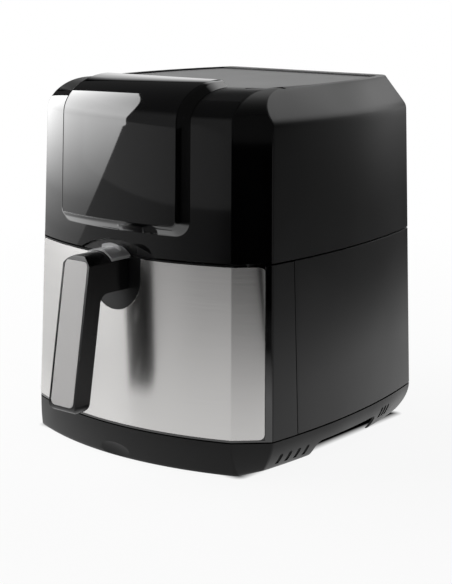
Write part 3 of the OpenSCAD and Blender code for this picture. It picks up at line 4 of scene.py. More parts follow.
import bmesh
import bpy
import numpy as np
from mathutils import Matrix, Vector


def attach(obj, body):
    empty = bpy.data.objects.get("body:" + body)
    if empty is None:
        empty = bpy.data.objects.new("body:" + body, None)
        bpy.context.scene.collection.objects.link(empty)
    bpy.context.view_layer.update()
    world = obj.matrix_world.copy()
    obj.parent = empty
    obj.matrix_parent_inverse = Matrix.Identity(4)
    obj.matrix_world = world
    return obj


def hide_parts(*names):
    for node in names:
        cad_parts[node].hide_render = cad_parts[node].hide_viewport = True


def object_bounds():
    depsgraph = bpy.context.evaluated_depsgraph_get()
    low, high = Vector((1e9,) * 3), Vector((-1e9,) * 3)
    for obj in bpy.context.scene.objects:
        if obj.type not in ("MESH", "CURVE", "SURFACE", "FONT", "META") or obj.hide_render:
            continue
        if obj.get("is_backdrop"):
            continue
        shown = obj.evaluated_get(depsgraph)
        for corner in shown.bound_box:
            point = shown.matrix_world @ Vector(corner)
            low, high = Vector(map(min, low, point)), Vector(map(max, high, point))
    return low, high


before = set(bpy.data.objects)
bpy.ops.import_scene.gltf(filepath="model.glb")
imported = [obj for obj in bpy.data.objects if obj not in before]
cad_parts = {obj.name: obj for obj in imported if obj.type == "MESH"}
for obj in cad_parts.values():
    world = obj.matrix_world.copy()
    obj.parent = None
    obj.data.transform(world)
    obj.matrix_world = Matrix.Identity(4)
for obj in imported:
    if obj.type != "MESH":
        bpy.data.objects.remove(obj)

bl_info = {
    "name": "Air fryer",
    "version": (1, 0, 0),
    "blender": (4, 5, 0),
    "location": "View3D > Sidebar > Air fryer",
    "description": "Builds an air fryer's shells, console, drawer, handle and finishes",
    "category": "Add Mesh",
}

MM = 0.001
MERGE_DISTANCE = 2e-6

# ---- The body's form, in millimetres, as the frame has it ----

BODY_TOP, SEAM_Z, MID_Z = 325.0, 31.0, 184.0
DEPTH = 346.4
Y_BACK = DEPTH / 2
Y_BOW = Y_BACK - 284.0
FRONT_W, FRONT_BOW = 230.0, 23.0
Y_CREASE = Y_BOW + FRONT_BOW
Y_RETURN = Y_BACK - 206.0
WALL = 2.6
SHOULDER_Z, SHOULDER_W, SHOULDER_D = 299.0, 23.5, 48.0
SHOULDER_H = BODY_TOP - SHOULDER_Z
SHOULDER_SOFT, TOP_EDGE_R = 1.3, 2.5
TAPER, FRONT_SLOPE, BACK_SLOPE = 0.00024, 0.039, 0.019
BASE_TUCK, FRONT_TUCK, BACK_TUCK = 20.0, 0.4, 0.3
FRONT_R = (FRONT_W**2 / 4 + FRONT_BOW**2) / (2 * FRONT_BOW)
FRONT_ANGLE = math.asin(FRONT_W / 2 / FRONT_R)
FACET_D, SIDE_BOW = 24.0, 11.0
SIDE_CREASE = np.array([141.0, Y_CREASE + FACET_D])
BACK_CORNER = np.array([127.0, Y_BACK])
BACK_R, CREASE_R, SIDE_CREASE_R = 8.0, 3.5, 4.5
FRONT_STEPS, SIDE_STEPS, CORNER_STEPS = 48, 28, 8

# How far a cutting tool reaches past the body: to each side, to the back and up, and to the front.
SIDEWAYS, FAR, AHEAD = 200.0, 300.0, Y_BOW - 20


def unit(v):
    return v / np.linalg.norm(v)


def side_plan():
    """The right wall's plan at the base seam: the bowed arc and the back corner."""
    chord = np.linalg.norm(BACK_CORNER - SIDE_CREASE)
    along = (BACK_CORNER - SIDE_CREASE) / chord
    radius = (chord**2 / 4 + SIDE_BOW**2) / (2 * SIDE_BOW)
    half = math.asin(chord / 2 / radius)
    out = np.array([along[1], -along[0]])
    angles = half * (2 * np.arange(SIDE_STEPS) / SIDE_STEPS - 1)
    arc = SIDE_CREASE + along * chord / 2 + np.outer(SIDE_BOW - radius + radius * np.cos(angles), out)
    arc = arc + np.outer(radius * np.sin(angles), along)
    first = math.atan2(-along[0], along[1]) + half
    centre = BACK_CORNER - np.array([BACK_R * (1 - math.sin(first)) / math.cos(first), BACK_R])
    turn = first + (math.pi / 2 - first) * np.arange(CORNER_STEPS + 1) / CORNER_STEPS
    corner = centre + BACK_R * np.stack([np.cos(turn), np.sin(turn)], axis=1)
    return np.vstack([arc, corner])


SIDE = side_plan()


def taper(z):
    return 1 - TAPER * (z - SEAM_Z)


def rise(z):
    return np.clip((z - SHOULDER_Z) / SHOULDER_H, 0, 1)


def tuck(z):
    """How far the base has drawn in below its seam: 0 there and 1 at the table."""
    return max(0.0, 1 - z / SEAM_Z) ** 1.8


def front_in(z):
    shoulder = SHOULDER_D * (1 - math.sqrt(1 - rise(z) ** 2))
    return FRONT_SLOPE * (z - SEAM_Z) + shoulder + FRONT_TUCK * (BASE_TUCK * tuck(z))


def side_in(z):
    """The sloped shoulder, rounded where it starts and where it meets the flat top."""
    slope = SHOULDER_W / SHOULDER_H
    start = slope * SHOULDER_SOFT * math.log1p(math.exp(min((z - SHOULDER_Z) / SHOULDER_SOFT, 40)))
    turn = math.atan2(SHOULDER_H, SHOULDER_W)
    drop = BODY_TOP - z
    if drop < TOP_EDGE_R * (1 - math.cos(turn)):
        phi = math.acos(1 - drop / TOP_EDGE_R)
        start += TOP_EDGE_R * (math.tan(turn / 2) - math.sin(phi)) + drop * slope
    return start + BASE_TUCK * tuck(z)


def front_y(u, z):
    return Y_BOW + FRONT_R - np.sqrt(FRONT_R**2 - np.asarray(u) ** 2) + front_in(z)


def mitred(points, inset):
    """A closed plan with every side moved inwards by inset."""
    before, after = points - np.roll(points, 1, axis=0), np.roll(points, -1, axis=0) - points
    before /= np.linalg.norm(before, axis=1)[:, None]
    after /= np.linalg.norm(after, axis=1)[:, None]
    inward = np.stack([-(before[:, 1] + after[:, 1]), before[:, 0] + after[:, 0]], axis=1)
    inward /= np.linalg.norm(inward, axis=1)[:, None]
    cosine = (inward * np.stack([-after[:, 1], after[:, 0]], axis=1)).sum(axis=1)
    return points + inward * (inset / cosine)[:, None]


def outline(z, inset=0.0):
    """Plan of the body at height z, counter-clockwise from the left front crease, creases rounded."""
    a = FRONT_ANGLE * (2 * np.arange(FRONT_STEPS + 1) / FRONT_STEPS - 1)
    front_depth = Y_BOW + FRONT_R * (1 - np.cos(a)) + front_in(z)
    front = np.stack([FRONT_R * np.sin(a) * taper(z), front_depth], axis=1)
    t = (SIDE[:, 1] - SIDE_CREASE[1]) / (BACK_CORNER[1] - SIDE_CREASE[1])
    back_in = BACK_SLOPE * (z - SEAM_Z) + BACK_TUCK * (BASE_TUCK * tuck(z))
    side_depth = SIDE[:, 1] + front_in(z) * (1 - t) - back_in * t
    right = np.stack([SIDE[:, 0] * taper(z) - side_in(z), side_depth], axis=1)
    left = right[::-1] * [-1, 1]
    points = np.vstack([front, right, left])
    n = len(points)
    radii = {0: CREASE_R, FRONT_STEPS: CREASE_R, FRONT_STEPS + 1: SIDE_CREASE_R, n - 1: SIDE_CREASE_R}
    rounded = []
    for i, p in enumerate(points):
        if i not in radii:
            rounded.append(p)
            continue
        u, v = unit(points[i - 1] - p), unit(points[(i + 1) % n] - p)
        half = math.acos(np.clip(u @ v, -1, 1)) / 2
        r = radii[i]
        centre = p + unit(u + v) * r / math.sin(half)
        start, end = p + u * r / math.tan(half) - centre, p + v * r / math.tan(half) - centre
        for s in np.linspace(0, 1, 5):
            rounded.append(centre + unit(start * (1 - s) + end * s) * r)
    return mitred(np.array(rounded), inset)


def at_height(points, z):
    return np.column_stack([points, np.full(len(points), z)])


def ring(z, inset=0.0):
    return at_height(outline(z, inset), z)


# ---- Mesh code ----


def grid_faces(rows, cols, wrap_rows=False, wrap_cols=False, start=0):
    faces = []
    for i in range(rows if wrap_rows else rows - 1):
        for j in range(cols if wrap_cols else cols - 1):
            a, b = start + i * cols, start + ((i + 1) % rows) * cols
            k = (j + 1) % cols
            faces.append((a + j, a + k, b + k, b + j))
    return faces


def lofted(rings, closed=False, caps=True):
    """Vertices and faces of a solid through rings that run counter-clockwise seen from the last one."""
    n = len(rings[0])
    faces = grid_faces(len(rings), n, closed, True)
    if caps and not closed:
        faces.append(tuple(reversed(range(n))))
        faces.append(tuple((len(rings) - 1) * n + j for j in range(n)))
    return np.vstack(rings), faces


def prism(points, z0, z1):
    return lofted([at_height(np.asarray(points), z0), at_height(np.asarray(points), z1)])


def facing(solid, turn, offset=(0, 0, 0)):
    """A solid with its axes turned: turn lists, for x, y and z, the old axis and its sign."""
    v, f = solid
    out = np.column_stack([v[:, k] * s for k, s in turn]) + np.array(offset)
    odd = np.linalg.det(np.array([[s if k == c else 0 for c in range(3)] for k, s in turn])) < 0
    return out, ([tuple(reversed(p)) for p in f] if odd else f)


def along_y(points, y0, y1):
    """A front profile of (x, z) points extruded from y0 back to y1."""
    return facing(prism(points, y0, y1), ((0, 1), (2, 1), (1, 1)))


def along_x(points, x0, x1):
    """A side profile of (y, z) points extruded from x0 to x1."""
    return facing(prism(points, x0, x1), ((2, 1), (0, 1), (1, 1)))


def block(lo, hi):
    (x0, y0, z0), (x1, y1, z1) = lo, hi
    return prism([(x0, y0), (x1, y0), (x1, y1), (x0, y1)], z0, z1)


def rounded_rect(w, d, r, centre=(0, 0), steps=6):
    out = []
    for sx, sy, first in ((1, -1, -90), (1, 1, 0), (-1, 1, 90), (-1, -1, 180)):
        x, y = centre[0] + sx * (w / 2 - r), centre[1] + sy * (d / 2 - r)
        for a in np.radians(first + np.linspace(0, 90, steps + 1)):
            out.append((x + r * math.cos(a), y + r * math.sin(a)))
    return np.array(out)


def circle(r, centre=(0, 0), steps=48):
    a = 2 * math.pi * np.arange(steps) / steps
    return np.stack([centre[0] + r * np.cos(a), centre[1] + r * np.sin(a)], axis=1)


def turned(profile, centre=(0, 0), steps=64):
    """A solid of revolution about Z from a closed profile of (r, z), counter-clockwise in that plane."""
    return lofted([at_height(circle(r, centre, steps), z) for r, z in profile], closed=True)


def bow(r, low, angles):
    """Points of an arc that crowns at r above low, by the angle from its crown."""
    return [(r * math.sin(a), low + r * math.cos(a)) for a in angles]


def joined(*solids):
    verts, faces, n = [], [], 0
    for v, f in solids:
        verts.append(v)
        faces += [tuple(i + n for i in p) for p in f]
        n += len(v)
    return np.vstack(verts), faces


def placed(name, data):
    """An object of the scene that holds some data."""
    obj = bpy.data.objects.new(name, data)
    bpy.context.scene.collection.objects.link(obj)
    return obj


def new_object(name, solid, close=False):
    """A solid in millimetres as an object, with doubles merged and, if asked, its holes closed."""
    mesh = bpy.data.meshes.new(name)
    mesh.from_pydata((np.asarray(solid[0]) * MM).tolist(), [], solid[1])
    mesh.validate()
    work = bmesh.new()
    work.from_mesh(mesh)
    bmesh.ops.remove_doubles(work, verts=work.verts, dist=MERGE_DISTANCE)
    if close:
        bmesh.ops.holes_fill(work, edges=[e for e in work.edges if e.is_boundary])
    bmesh.ops.recalc_face_normals(work, faces=work.faces)
    work.to_mesh(mesh)
    work.free()
    return placed(name, mesh)


def apply_modifiers(obj):
    bpy.context.view_layer.update()
    ready = obj.evaluated_get(bpy.context.evaluated_depsgraph_get())
    mesh = bpy.data.meshes.new_from_object(ready)
    old = obj.data
    obj.modifiers.clear()
    obj.data = mesh
    mesh.name = obj.name
    bpy.data.meshes.remove(old)


def merged(obj, tool, how):
    """Cuts the tool out of obj, adds it or keeps what they share, and takes the tool away."""
    step = obj.modifiers.new("cut", "BOOLEAN")
    step.operation, step.object, step.solver = how, tool, "MANIFOLD"
    apply_modifiers(obj)
    bpy.data.meshes.remove(tool.data)


def combined(obj, solids, how="DIFFERENCE"):
    for solid in solids:
        merged(obj, new_object("tool", solid), how)


def overlap(obj, solid):
    combined(obj, [solid], "INTERSECT")


def add_bevel(obj, width, segments=2, angle=35):
    """A bevel of a width in millimetres on the edges that are sharper than an angle in degrees."""
    step = obj.modifiers.new("edges", "BEVEL")
    step.width, step.segments, step.limit_method = width * MM, segments, "ANGLE"
    step.angle_limit = math.radians(angle)


def round_edges(obj, width, segments, angle):
    add_bevel(obj, width, segments, angle)
    apply_modifiers(obj)


def finished(obj, body, finish, replaces, bevel=0.0, angle=35, smooth=30, segments=2):
    """Rounds the sharp edges, shades the rest smooth, gives the piece its finish and body, and hides the
    frame's nodes that it replaces.
    """
    if bevel:
        round_edges(obj, bevel, segments, angle)
    obj.data.shade_smooth()
    obj.data.set_sharp_from_angle(angle=math.radians(smooth))
    if bevel:
        shade = obj.modifiers.new("shading", "WEIGHTED_NORMAL")
        shade.mode, shade.keep_sharp = "FACE_AREA", True
        apply_modifiers(obj)
    obj.data.materials.clear()
    obj.data.materials.append(finish)
    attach(obj, body)
    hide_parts(*replaces)


def clipped(points, axis, value, keep):
    """The part of a convex polygon on one side of a line: keep is 1 above the value and -1 below it."""
    out = []
    for p, q in zip(points, np.roll(points, -1, axis=0)):
        a, b = (p[axis] - value) * keep, (q[axis] - value) * keep
        if a >= 0:
            out.append(p)
        if a * b < 0:
            out.append(p + (q - p) * a / (a - b))
    return np.array(out)


def filleted(corners, steps=8):
    """A polygon from (x, y, radius) corners, each turned into an arc that touches both sides."""
    out = []
    xy = np.array([c[:2] for c in corners], float)
    for i, p in enumerate(xy):
        r = corners[i][2]
        u, v = unit(xy[i - 1] - p), unit(xy[(i + 1) % len(xy)] - p)
        half = math.acos(np.clip(u @ v, -1, 1)) / 2
        if r <= 0 or half > 1.55:
            out.append(p)
            continue
        centre = p + unit(u + v) * r / math.sin(half)
        start, end = p + u * r / math.tan(half) - centre, p + v * r / math.tan(half) - centre
        turn = math.pi - 2 * half
        for s in np.linspace(0, 1, steps + 1):
            reach = start * math.sin((1 - s) * turn) + end * math.sin(s * turn)
            out.append(centre + reach / math.sin(turn))
    return np.array(out)


def band(z0, z1, d0, d1, levels=2):
    """A tube between two depths inside the body's outline."""
    zs = np.linspace(z0, z1, levels)
    return lofted([ring(z, d0) for z in zs] + [ring(z, d1) for z in zs[::-1]], closed=True)


def filled(z0, z1, d, levels=2):
    return lofted([ring(z, d) for z in np.linspace(z0, z1, levels)])


def leaning(solid, slope, origin):
    """A solid made along Z, leant towards +Y by a slope in degrees and moved to its origin."""
    v, f = solid
    c, s = math.cos(math.radians(slope)), math.sin(math.radians(slope))
    x, y, z = v[:, 0], v[:, 1], v[:, 2]
    return np.column_stack([x, y * c + z * s, z * c - y * s]) + np.array(origin), f


# ---- Finishes ----

NOISE_LOW, NOISE_HIGH = 0.3, 0.7
SLOW_GRAIN = 14.0
POLISH_EDGE = (-0.54, -0.46)


def feed(tree, socket, value):
    """Links a socket to another node's output, or sets it to a plain value."""
    if isinstance(value, bpy.types.NodeSocket):
        tree.links.new(value, socket)
    else:
        socket.default_value = value


def feed_all(tree, step, inputs):
    for name, value in inputs.items():
        feed(tree, step.inputs[name.replace("_", " ")], value)


def node(tree, kind, **inputs):
    step = tree.nodes.new("ShaderNode" + kind)
    feed_all(tree, step, inputs)
    return step


def maths(tree, operation, *values):
    """A math node over numbers and sockets."""
    step = node(tree, "Math")
    step.operation = operation
    for socket, value in zip(step.inputs, values):
        feed(tree, socket, value)
    return step.outputs[0]


def product(tree, first, *others):
    for other in others:
        first = maths(tree, "MULTIPLY", first, other)
    return first


def new_finish(name, colour=(0.8, 0.8, 0.8), alpha=1.0):
    finish = bpy.data.materials.new(name)
    finish.use_nodes = True
    finish.diffuse_color = (*colour, alpha)
    tree = finish.node_tree
    tree.nodes.clear()
    shader = node(tree, "BsdfPrincipled")
    node(tree, "OutputMaterial", Surface=shader.outputs["BSDF"])
    return finish, tree, shader


def texture(tree, scale, detail=2.0, stretch=(1, 1, 1)):
    """Noise in the object's own space, with scale in grains for each metre."""
    place = node(tree, "Mapping", Vector=node(tree, "TexCoord").outputs["Object"], Scale=stretch)
    noise = node(tree, "TexNoise", Vector=place.outputs["Vector"], Scale=scale, Detail=detail)
    return noise.outputs["Fac"]


def spread(tree, value, lo, hi, start=NOISE_LOW, end=NOISE_HIGH):
    """A value carried from start and end to lo and hi, and held there beyond them."""
    limits = {"From Min": start, "From Max": end, "To Min": lo, "To Max": hi}
    return node(tree, "MapRange", Value=value, **limits).outputs["Result"]


def shades(tree, value, colour, vary):
    """A colour that gets darker and lighter by a share of itself."""
    ramp = node(tree, "ValToRGB", Fac=value)
    ends = (NOISE_LOW, 1 - vary), (NOISE_HIGH, 1 + vary)
    for stop, (at, factor) in zip(ramp.color_ramp.elements, ends):
        stop.position, stop.color = at, (*(min(1.0, c * factor) for c in colour), 1)
    return ramp.outputs["Color"]


def bumped(tree, shader, value, depth, strength):
    bump = node(tree, "Bump", Height=value, Distance=depth * MM, Strength=strength)
    tree.links.new(bump.outputs["Normal"], shader.inputs["Normal"])


def moulded(
    name, colour, rough, grain=900.0, depth=0.02, vary=0.12, rough_vary=0.25, metal=0.0, strength=0.4,
    coat=0.0, specular=0.5,
):
    """Plastic or paint: a fine grain in relief, with slow changes of shade and gloss."""
    finish, tree, shader = new_finish(name, colour)
    slow, fine = texture(tree, SLOW_GRAIN), texture(tree, grain, 3.0)
    feed_all(tree, shader, {
        "Base Color": shades(tree, slow, colour, vary),
        "Roughness": spread(tree, slow, rough * (1 - rough_vary), rough * (1 + rough_vary)),
        "Metallic": metal,
        "Coat Weight": coat,
        "Specular IOR Level": specular,
    })
    bumped(tree, shader, fine, depth, strength)
    return finish


def brushed(name, colour, rough, anisotropy):
    """Metal with fine scratches drawn out along the horizontal, so that reflections smear upright."""
    finish, tree, shader = new_finish(name, colour)
    lines = texture(tree, 3.0, 6.0, (6, 6, 900))
    tangent = tree.nodes.new("ShaderNodeTangent")
    tangent.direction_type, tangent.axis = "RADIAL", "Z"
    feed_all(tree, shader, {
        "Base Color": shades(tree, lines, colour, 0.03),
        "Roughness": spread(tree, lines, rough * 0.95, rough * 1.05),
        "Metallic": 1.0,
        "Anisotropic": anisotropy,
        "Anisotropic Rotation": 0.25,
        "Tangent": tangent.outputs["Tangent"],
    })
    bumped(tree, shader, lines, 0.004, 0.12)
    return finish


def clear(name, colour, rough):
    """Clear plastic with haze in its depth."""
    finish, tree, shader = new_finish(name, colour, 0.4)
    slow = texture(tree, 60.0)
    feed_all(tree, shader, {
        "Base Color": (*colour, 1),
        "Roughness": spread(tree, slow, rough * 0.7, rough * 1.5),
        "Transmission Weight": 0.65,
        "IOR": 1.49,
    })
    bumped(tree, shader, slow, 0.02, 0.2)
    return finish


# ---- Settings a user would change ----

DEEP_BLACK = (0.003, 0.003, 0.0034)


def colour_setting(name, description, value):
    return bpy.props.FloatVectorProperty(
        name=name, description=description, default=value, min=0, max=1, size=3, subtype="COLOR"
    )


def share_setting(name, description, value):
    return bpy.props.FloatProperty(
        name=name, description=description, default=value, min=0, max=1, subtype="FACTOR"
    )


def length_setting(name, description, value):
    return bpy.props.FloatProperty(
        name=name, description=description, default=value * MM, min=0, max=50 * MM,
        subtype="DISTANCE", unit="LENGTH",
    )


class FryerSizes(bpy.types.PropertyGroup):
    edge: length_setting("Edge rounding", "Rounding of the moulded edges at the seams", 0.8)
    console_corner: length_setting("Console corner", "Radius of the console's two lower corners", 7.0)
    console_rim: length_setting("Console rim", "Width of the rim round the display glass", 2.2)
    handle_round: length_setting("Handle rounding", "Rounding of the handle's long edges", 4.2)
    skin_edge: length_setting("Steel edge", "Rounding of the steel skin's cut edges", 0.3)


class FryerColours(bpy.types.PropertyGroup):
    gloss: colour_setting("Polished black", "Front of the housing and the console", DEEP_BLACK)
    satin: colour_setting("Satin black", "Sides and back of the body", (0.009, 0.009, 0.0095))
    base: colour_setting("Base", "Base and its skirt", (0.007, 0.007, 0.0072))
    plate: colour_setting("Top plate", "Grey plate in the flat top", (0.19, 0.19, 0.192))
    steel: colour_setting("Steel", "Brushed skin of the drawer", (0.67, 0.66, 0.65))
    inlay: colour_setting("Inlay", "Silver strip in the handle", (0.56, 0.55, 0.545))
    handle: colour_setting("Handle", "Black shell of the handle", (0.008, 0.008, 0.0085))
    coating: colour_setting("Coating", "Non-stick coating of pan and basket", (0.022, 0.022, 0.023))


class FryerGloss(bpy.types.PropertyGroup):
    gloss: share_setting("Polish", "Roughness of the polished black", 0.04)
    satin: share_setting("Satin", "Roughness of the satin black", 0.36)
    steel: share_setting("Steel", "Roughness across the steel's scratches", 0.24)
    brush: share_setting("Brushing", "How far reflections smear along the steel", 0.82)


def sizes():
    return bpy.context.scene.fryer_sizes


def colours():
    return bpy.context.scene.fryer_colours


def gloss():
    return bpy.context.scene.fryer_gloss


def polished_black():
    """Black plastic, polished where the front faces forward and satin on the sides and the back."""
    polish, satin = gloss().gloss, gloss().satin
    finish, tree, shader = new_finish("polished_black", colours().gloss)
    where = node(tree, "TexCoord")
    facing_y = node(tree, "SeparateXYZ", Vector=where.outputs["Normal"]).outputs["Y"]
    place_y = node(tree, "SeparateXYZ", Vector=where.outputs["Object"]).outputs["Y"]
    forward = spread(tree, facing_y, 1.0, 0.0, *POLISH_EDGE)
    front = product(tree, forward, maths(tree, "LESS_THAN", place_y, 0.0))
    slow, fine = texture(tree, 9.0), texture(tree, 1400.0, 3.0)
    satin_rough = spread(tree, slow, satin * 0.85, satin * 1.15)
    polish_rough = spread(tree, slow, polish * 0.8, polish * 1.3)
    rough = node(tree, "Mix", Factor=front, A=satin_rough, B=polish_rough)
    tint = node(tree, "Mix")
    tint.data_type = "RGBA"
    ends = [shades(tree, slow, colour, 0.1) for colour in (colours().satin, colours().gloss)]
    feed_all(tree, tint, {"Factor": front, "A": ends[0], "B": ends[1]})
    feed_all(tree, shader, {
        "Base Color": tint.outputs["Result"],
        "Roughness": rough.outputs["Result"],
        "Coat Weight": front,
    })
    bumped(tree, shader, fine, 0.015, spread(tree, front, 0.35, 0.02, 0.0, 1.0))
    return finish


# ---- Housing ----

VENT_W, VENT_H, VENT_R = 96.0, 46.0, 8.0
DECK_TOP = MID_Z + 12.5 + 2.5
VENT_Z = DECK_TOP + 14.0
NOTCH_HALF_W, NOTCH_RISE = 44.0, 11.5
CONSOLE_END = Y_BOW + 70.0
PLATE_T = 1.8
PLATE_RECESS = PLATE_T + 0.4
PLATE_DROP = 1.3
PLATE_CORNER_R, PLATE_GAP, PLATE_SEAT = 3.0, 0.8, 0.2
TOP_RIM, TOP_RIM_BACK = 4.0, 14.0
INNER_DROP, INNER_DROP_Z = 5.0, 290


def notch_outline(grow=0.0, low=-10.0):
    """Arched notch over the handle."""
    radius = (NOTCH_HALF_W**2 + NOTCH_RISE**2) / (2 * NOTCH_RISE)
    centre = MID_Z + NOTCH_RISE - radius
    half = NOTCH_HALF_W + grow
    top = radius + grow
    start = math.asin(min(1, half / top))
    arc = bow(top, centre, np.linspace(start, -start, 40))
    return np.array(arc + [(-half, MID_Z + low), (half, MID_Z + low)])[::-1]


def plate_outline(grow):
    """Plan of the recess in the flat top, which ends behind the console."""
    points = outline(BODY_TOP, TOP_RIM - grow)
    points = clipped(points, 1, CONSOLE_END - 2 - grow, 1)
    points = clipped(points, 1, Y_BACK - BACK_SLOPE * (BODY_TOP - SEAM_Z) - TOP_RIM_BACK + grow, -1)
    corners = []
    for i, p in enumerate(points):
        u, v = unit(p - points[i - 1]), unit(points[(i + 1) % len(points)] - p)
        corners.append((*p, PLATE_CORNER_R if u @ v < 0.9 else 0.0))
    return filleted(corners)


def housing_levels():
    """Heights up the housing, closer together over its round shoulder."""
    angles = np.concatenate([np.arange(0, 60, 4.0), np.arange(60, 90.1, 2.5)])
    shoulder = SHOULDER_Z + SHOULDER_H * np.sin(np.radians(angles))
    return np.concatenate([[MID_Z, 200, 225, 250, 275, 290, 295, 297, 298], shoulder])


def make_housing():
    levels = housing_levels()
    drops = INNER_DROP * np.clip((levels - INNER_DROP_Z) / (SHOULDER_Z - INNER_DROP_Z), 0, 1)
    inner = [at_height(outline(z, WALL), z - drop) for z, drop in zip(levels[::-2], drops[::-2])]
    inner[-1] = ring(MID_Z, WALL)
    obj = new_object("housing", lofted(inner + [ring(z) for z in levels]))
    opening = rounded_rect(VENT_W, VENT_H, VENT_R, (0, VENT_Z + VENT_H / 2))
    vent = along_y(opening, Y_BACK - 30, Y_BACK + 20)
    notch = along_y(notch_outline(), AHEAD, Y_CREASE + 40)
    recess = prism(plate_outline(0.0), BODY_TOP - PLATE_RECESS, BODY_TOP + 8)
    combined(obj, [joined(vent, notch, recess)])
    edge = sizes().edge / MM
    finished(obj, "body", polished_black(), ["upper_housing"], edge, smooth=24)


def make_top_plate():
    low, high = BODY_TOP - PLATE_RECESS + PLATE_SEAT, BODY_TOP - PLATE_DROP
    obj = new_object("top_cover_plate", prism(plate_outline(-PLATE_GAP), low, high))
    grey = moulded("grey_plate", colours().plate, 0.36, 1100, vary=0.03, rough_vary=0.06, specular=0.35)
    finished(obj, "body", grey, ["top_plate"], 0.5)


# ---- Console ----

CONSOLE_W, CONSOLE_Z, CONSOLE_RAISE = 135.0, MID_Z + 20.0, 6.5
CONSOLE_COLUMNS, CONSOLE_CORNER_ROWS, CONSOLE_FRONT_ROWS = 33, 9, 16
GLASS_T, GLASS_GAP = 1.6, 0.2
CONSOLE_SEAT = 0.35

# Insets from the raised face's edge and drops below it, up the outer bevel.
CONSOLE_BEVEL = ((-1.7, 1.9), (-0.8, 1.15), (0.1, 0.72))


def console_place(u, station, off):
    """A point over the body's front, shoulder and top, lifted off it by off."""
    kind, value = station
    if kind == "top":
        return np.array([u * taper(BODY_TOP), value, BODY_TOP + off])
    a = math.radians(value) if kind == "round" else 0.0
    z = SHOULDER_Z + SHOULDER_H * math.sin(a) if kind == "round" else value
    n = unit(np.array([-math.cos(a) / SHOULDER_D, math.sin(a) / SHOULDER_H]))
    return np.array([u * taper(min(z, BODY_TOP)), float(front_y(u, z)) + n[0] * off, z + n[1] * off])


def console_grid(half_w, z0, corner, end):
    """Rows of (u, station) over a strip with two rounded lower corners; row 0 is the lower edge."""
    rows = []
    columns = np.linspace(-1, 1, CONSOLE_COLUMNS)
    for a in np.radians(np.linspace(0, 90, CONSOLE_CORNER_ROWS)):
        half = half_w - corner + corner * math.sin(a)
        rows.append([(half * c, ("front", z0 + corner - corner * math.cos(a))) for c in columns])
    stations = [("front", z) for z in np.linspace(z0 + corner, SHOULDER_Z, CONSOLE_FRONT_ROWS)[1:]]
    stations += [("round", a) for a in np.arange(3, 85, 3.0)]
    stations += [("top", end)]
    rows += [[(half_w * c, s) for c in columns] for s in stations]
    return rows


def console_loop(rows):
    """The open edge of a console grid: down its left, along the lower edge and up its right."""
    return [r[0] for r in rows[:0:-1]] + list(rows[0]) + [r[-1] for r in rows[1:]]


def grid_points(rows, off):
    """The places of a console grid, lifted off the body."""
    return np.array([console_place(u, s, off) for r in rows for u, s in r])


def loop_points(rows, off):
    return np.array([console_place(u, s, off) for u, s in console_loop(rows)])


def sheet_between(loops):
    return np.vstack(loops), grid_faces(len(loops), len(loops[0]))


def console_strip(inset):
    """Grid of the console's strip, inset from the outer edge of its raised face."""
    half = CONSOLE_W / 2 / taper(SHOULDER_Z) - inset
    corner = max(sizes().console_corner / MM - inset, 2.0)
    return console_grid(half, CONSOLE_Z + CONSOLE_RAISE + inset, corner, CONSOLE_END - max(inset, 0))


def console_sheets(levels):
    """The wall through console grids, each lifted off the body, and the first and last grid filled."""
    grid = levels[0][0]
    wall = sheet_between([loop_points(rows, off) for rows, off in levels])
    faces = grid_faces(len(grid), len(grid[0]))
    return wall, (grid_points(*levels[0]), faces), (grid_points(*levels[-1]), faces)


def make_console():
    """The bezel: bevelled walls up to a chamfered rim, and the bed that the glass lies in."""
    rim = sizes().console_rim / MM
    bed, top = console_strip(rim), CONSOLE_RAISE
    wall, under, floor = console_sheets([
        (console_strip(-CONSOLE_RAISE), CONSOLE_SEAT),
        *((console_strip(inset), top - drop) for inset, drop in CONSOLE_BEVEL),
        (console_strip(rim - 0.25), top - 0.12),
        (bed, top - 0.4),
        (bed, top - GLASS_T - GLASS_GAP),
    ])
    obj = new_object("console", joined(wall, floor, under), close=True)
    black = moulded(
        "console_polish", colours().gloss, gloss().gloss, 60, 0.004,
        vary=0.1, rough_vary=0.3, strength=0.1, coat=1.0,
    )
    finished(obj, "body", black, ["console_panel"], smooth=28)


def make_glass():
    rim = sizes().console_rim / MM + GLASS_GAP
    edge, top = console_strip(rim), CONSOLE_RAISE
    levels = [(console_strip(rim + 0.35), top), (edge, top - 0.3), (edge, top - GLASS_T)]
    wall, face, under = console_sheets(levels)
    obj = new_object("display_window", joined(face, wall, under), close=True)
    finish = moulded(
        "display_window", DEEP_BLACK, 0.03, 50, 0.003,
        vary=0.1, rough_vary=0.3, strength=0.08, coat=1.0,
    )
    finished(obj, "body", finish, ["display_glass"], smooth=28)


# ---- Lower body and base ----

DRAWER_Z0, DRAWER_Z1 = SEAM_Z + 0.6, MID_Z - 1.6
BASE_TOP = SEAM_Z - 0.6
SKIRT_Z, SKIRT_ROUND, SKIRT_ROUND_H = 1.2, 1.2, 1.5
BASE_FLARE = 4.0
LINER_Z = SEAM_Z + 4.0
WEB_Z, WEB_TOP = 17.5, 20.0
HAND_Y0 = Y_CREASE + 88.0
HAND_Y1 = Y_BACK - 74.0
HAND_TOP, HAND_R = 16.5, 7
SLOT_W = 4.4

# Air slots from front to back: the first one's place, their step, their count, and lower and upper end.
FRONT_SLOTS = (Y_CREASE + 40, 11.5, 4, 6.5, 17.0)
REAR_SLOTS = (HAND_Y1 + 9, 6.5, 3, 11.0, WEB_TOP + 2)

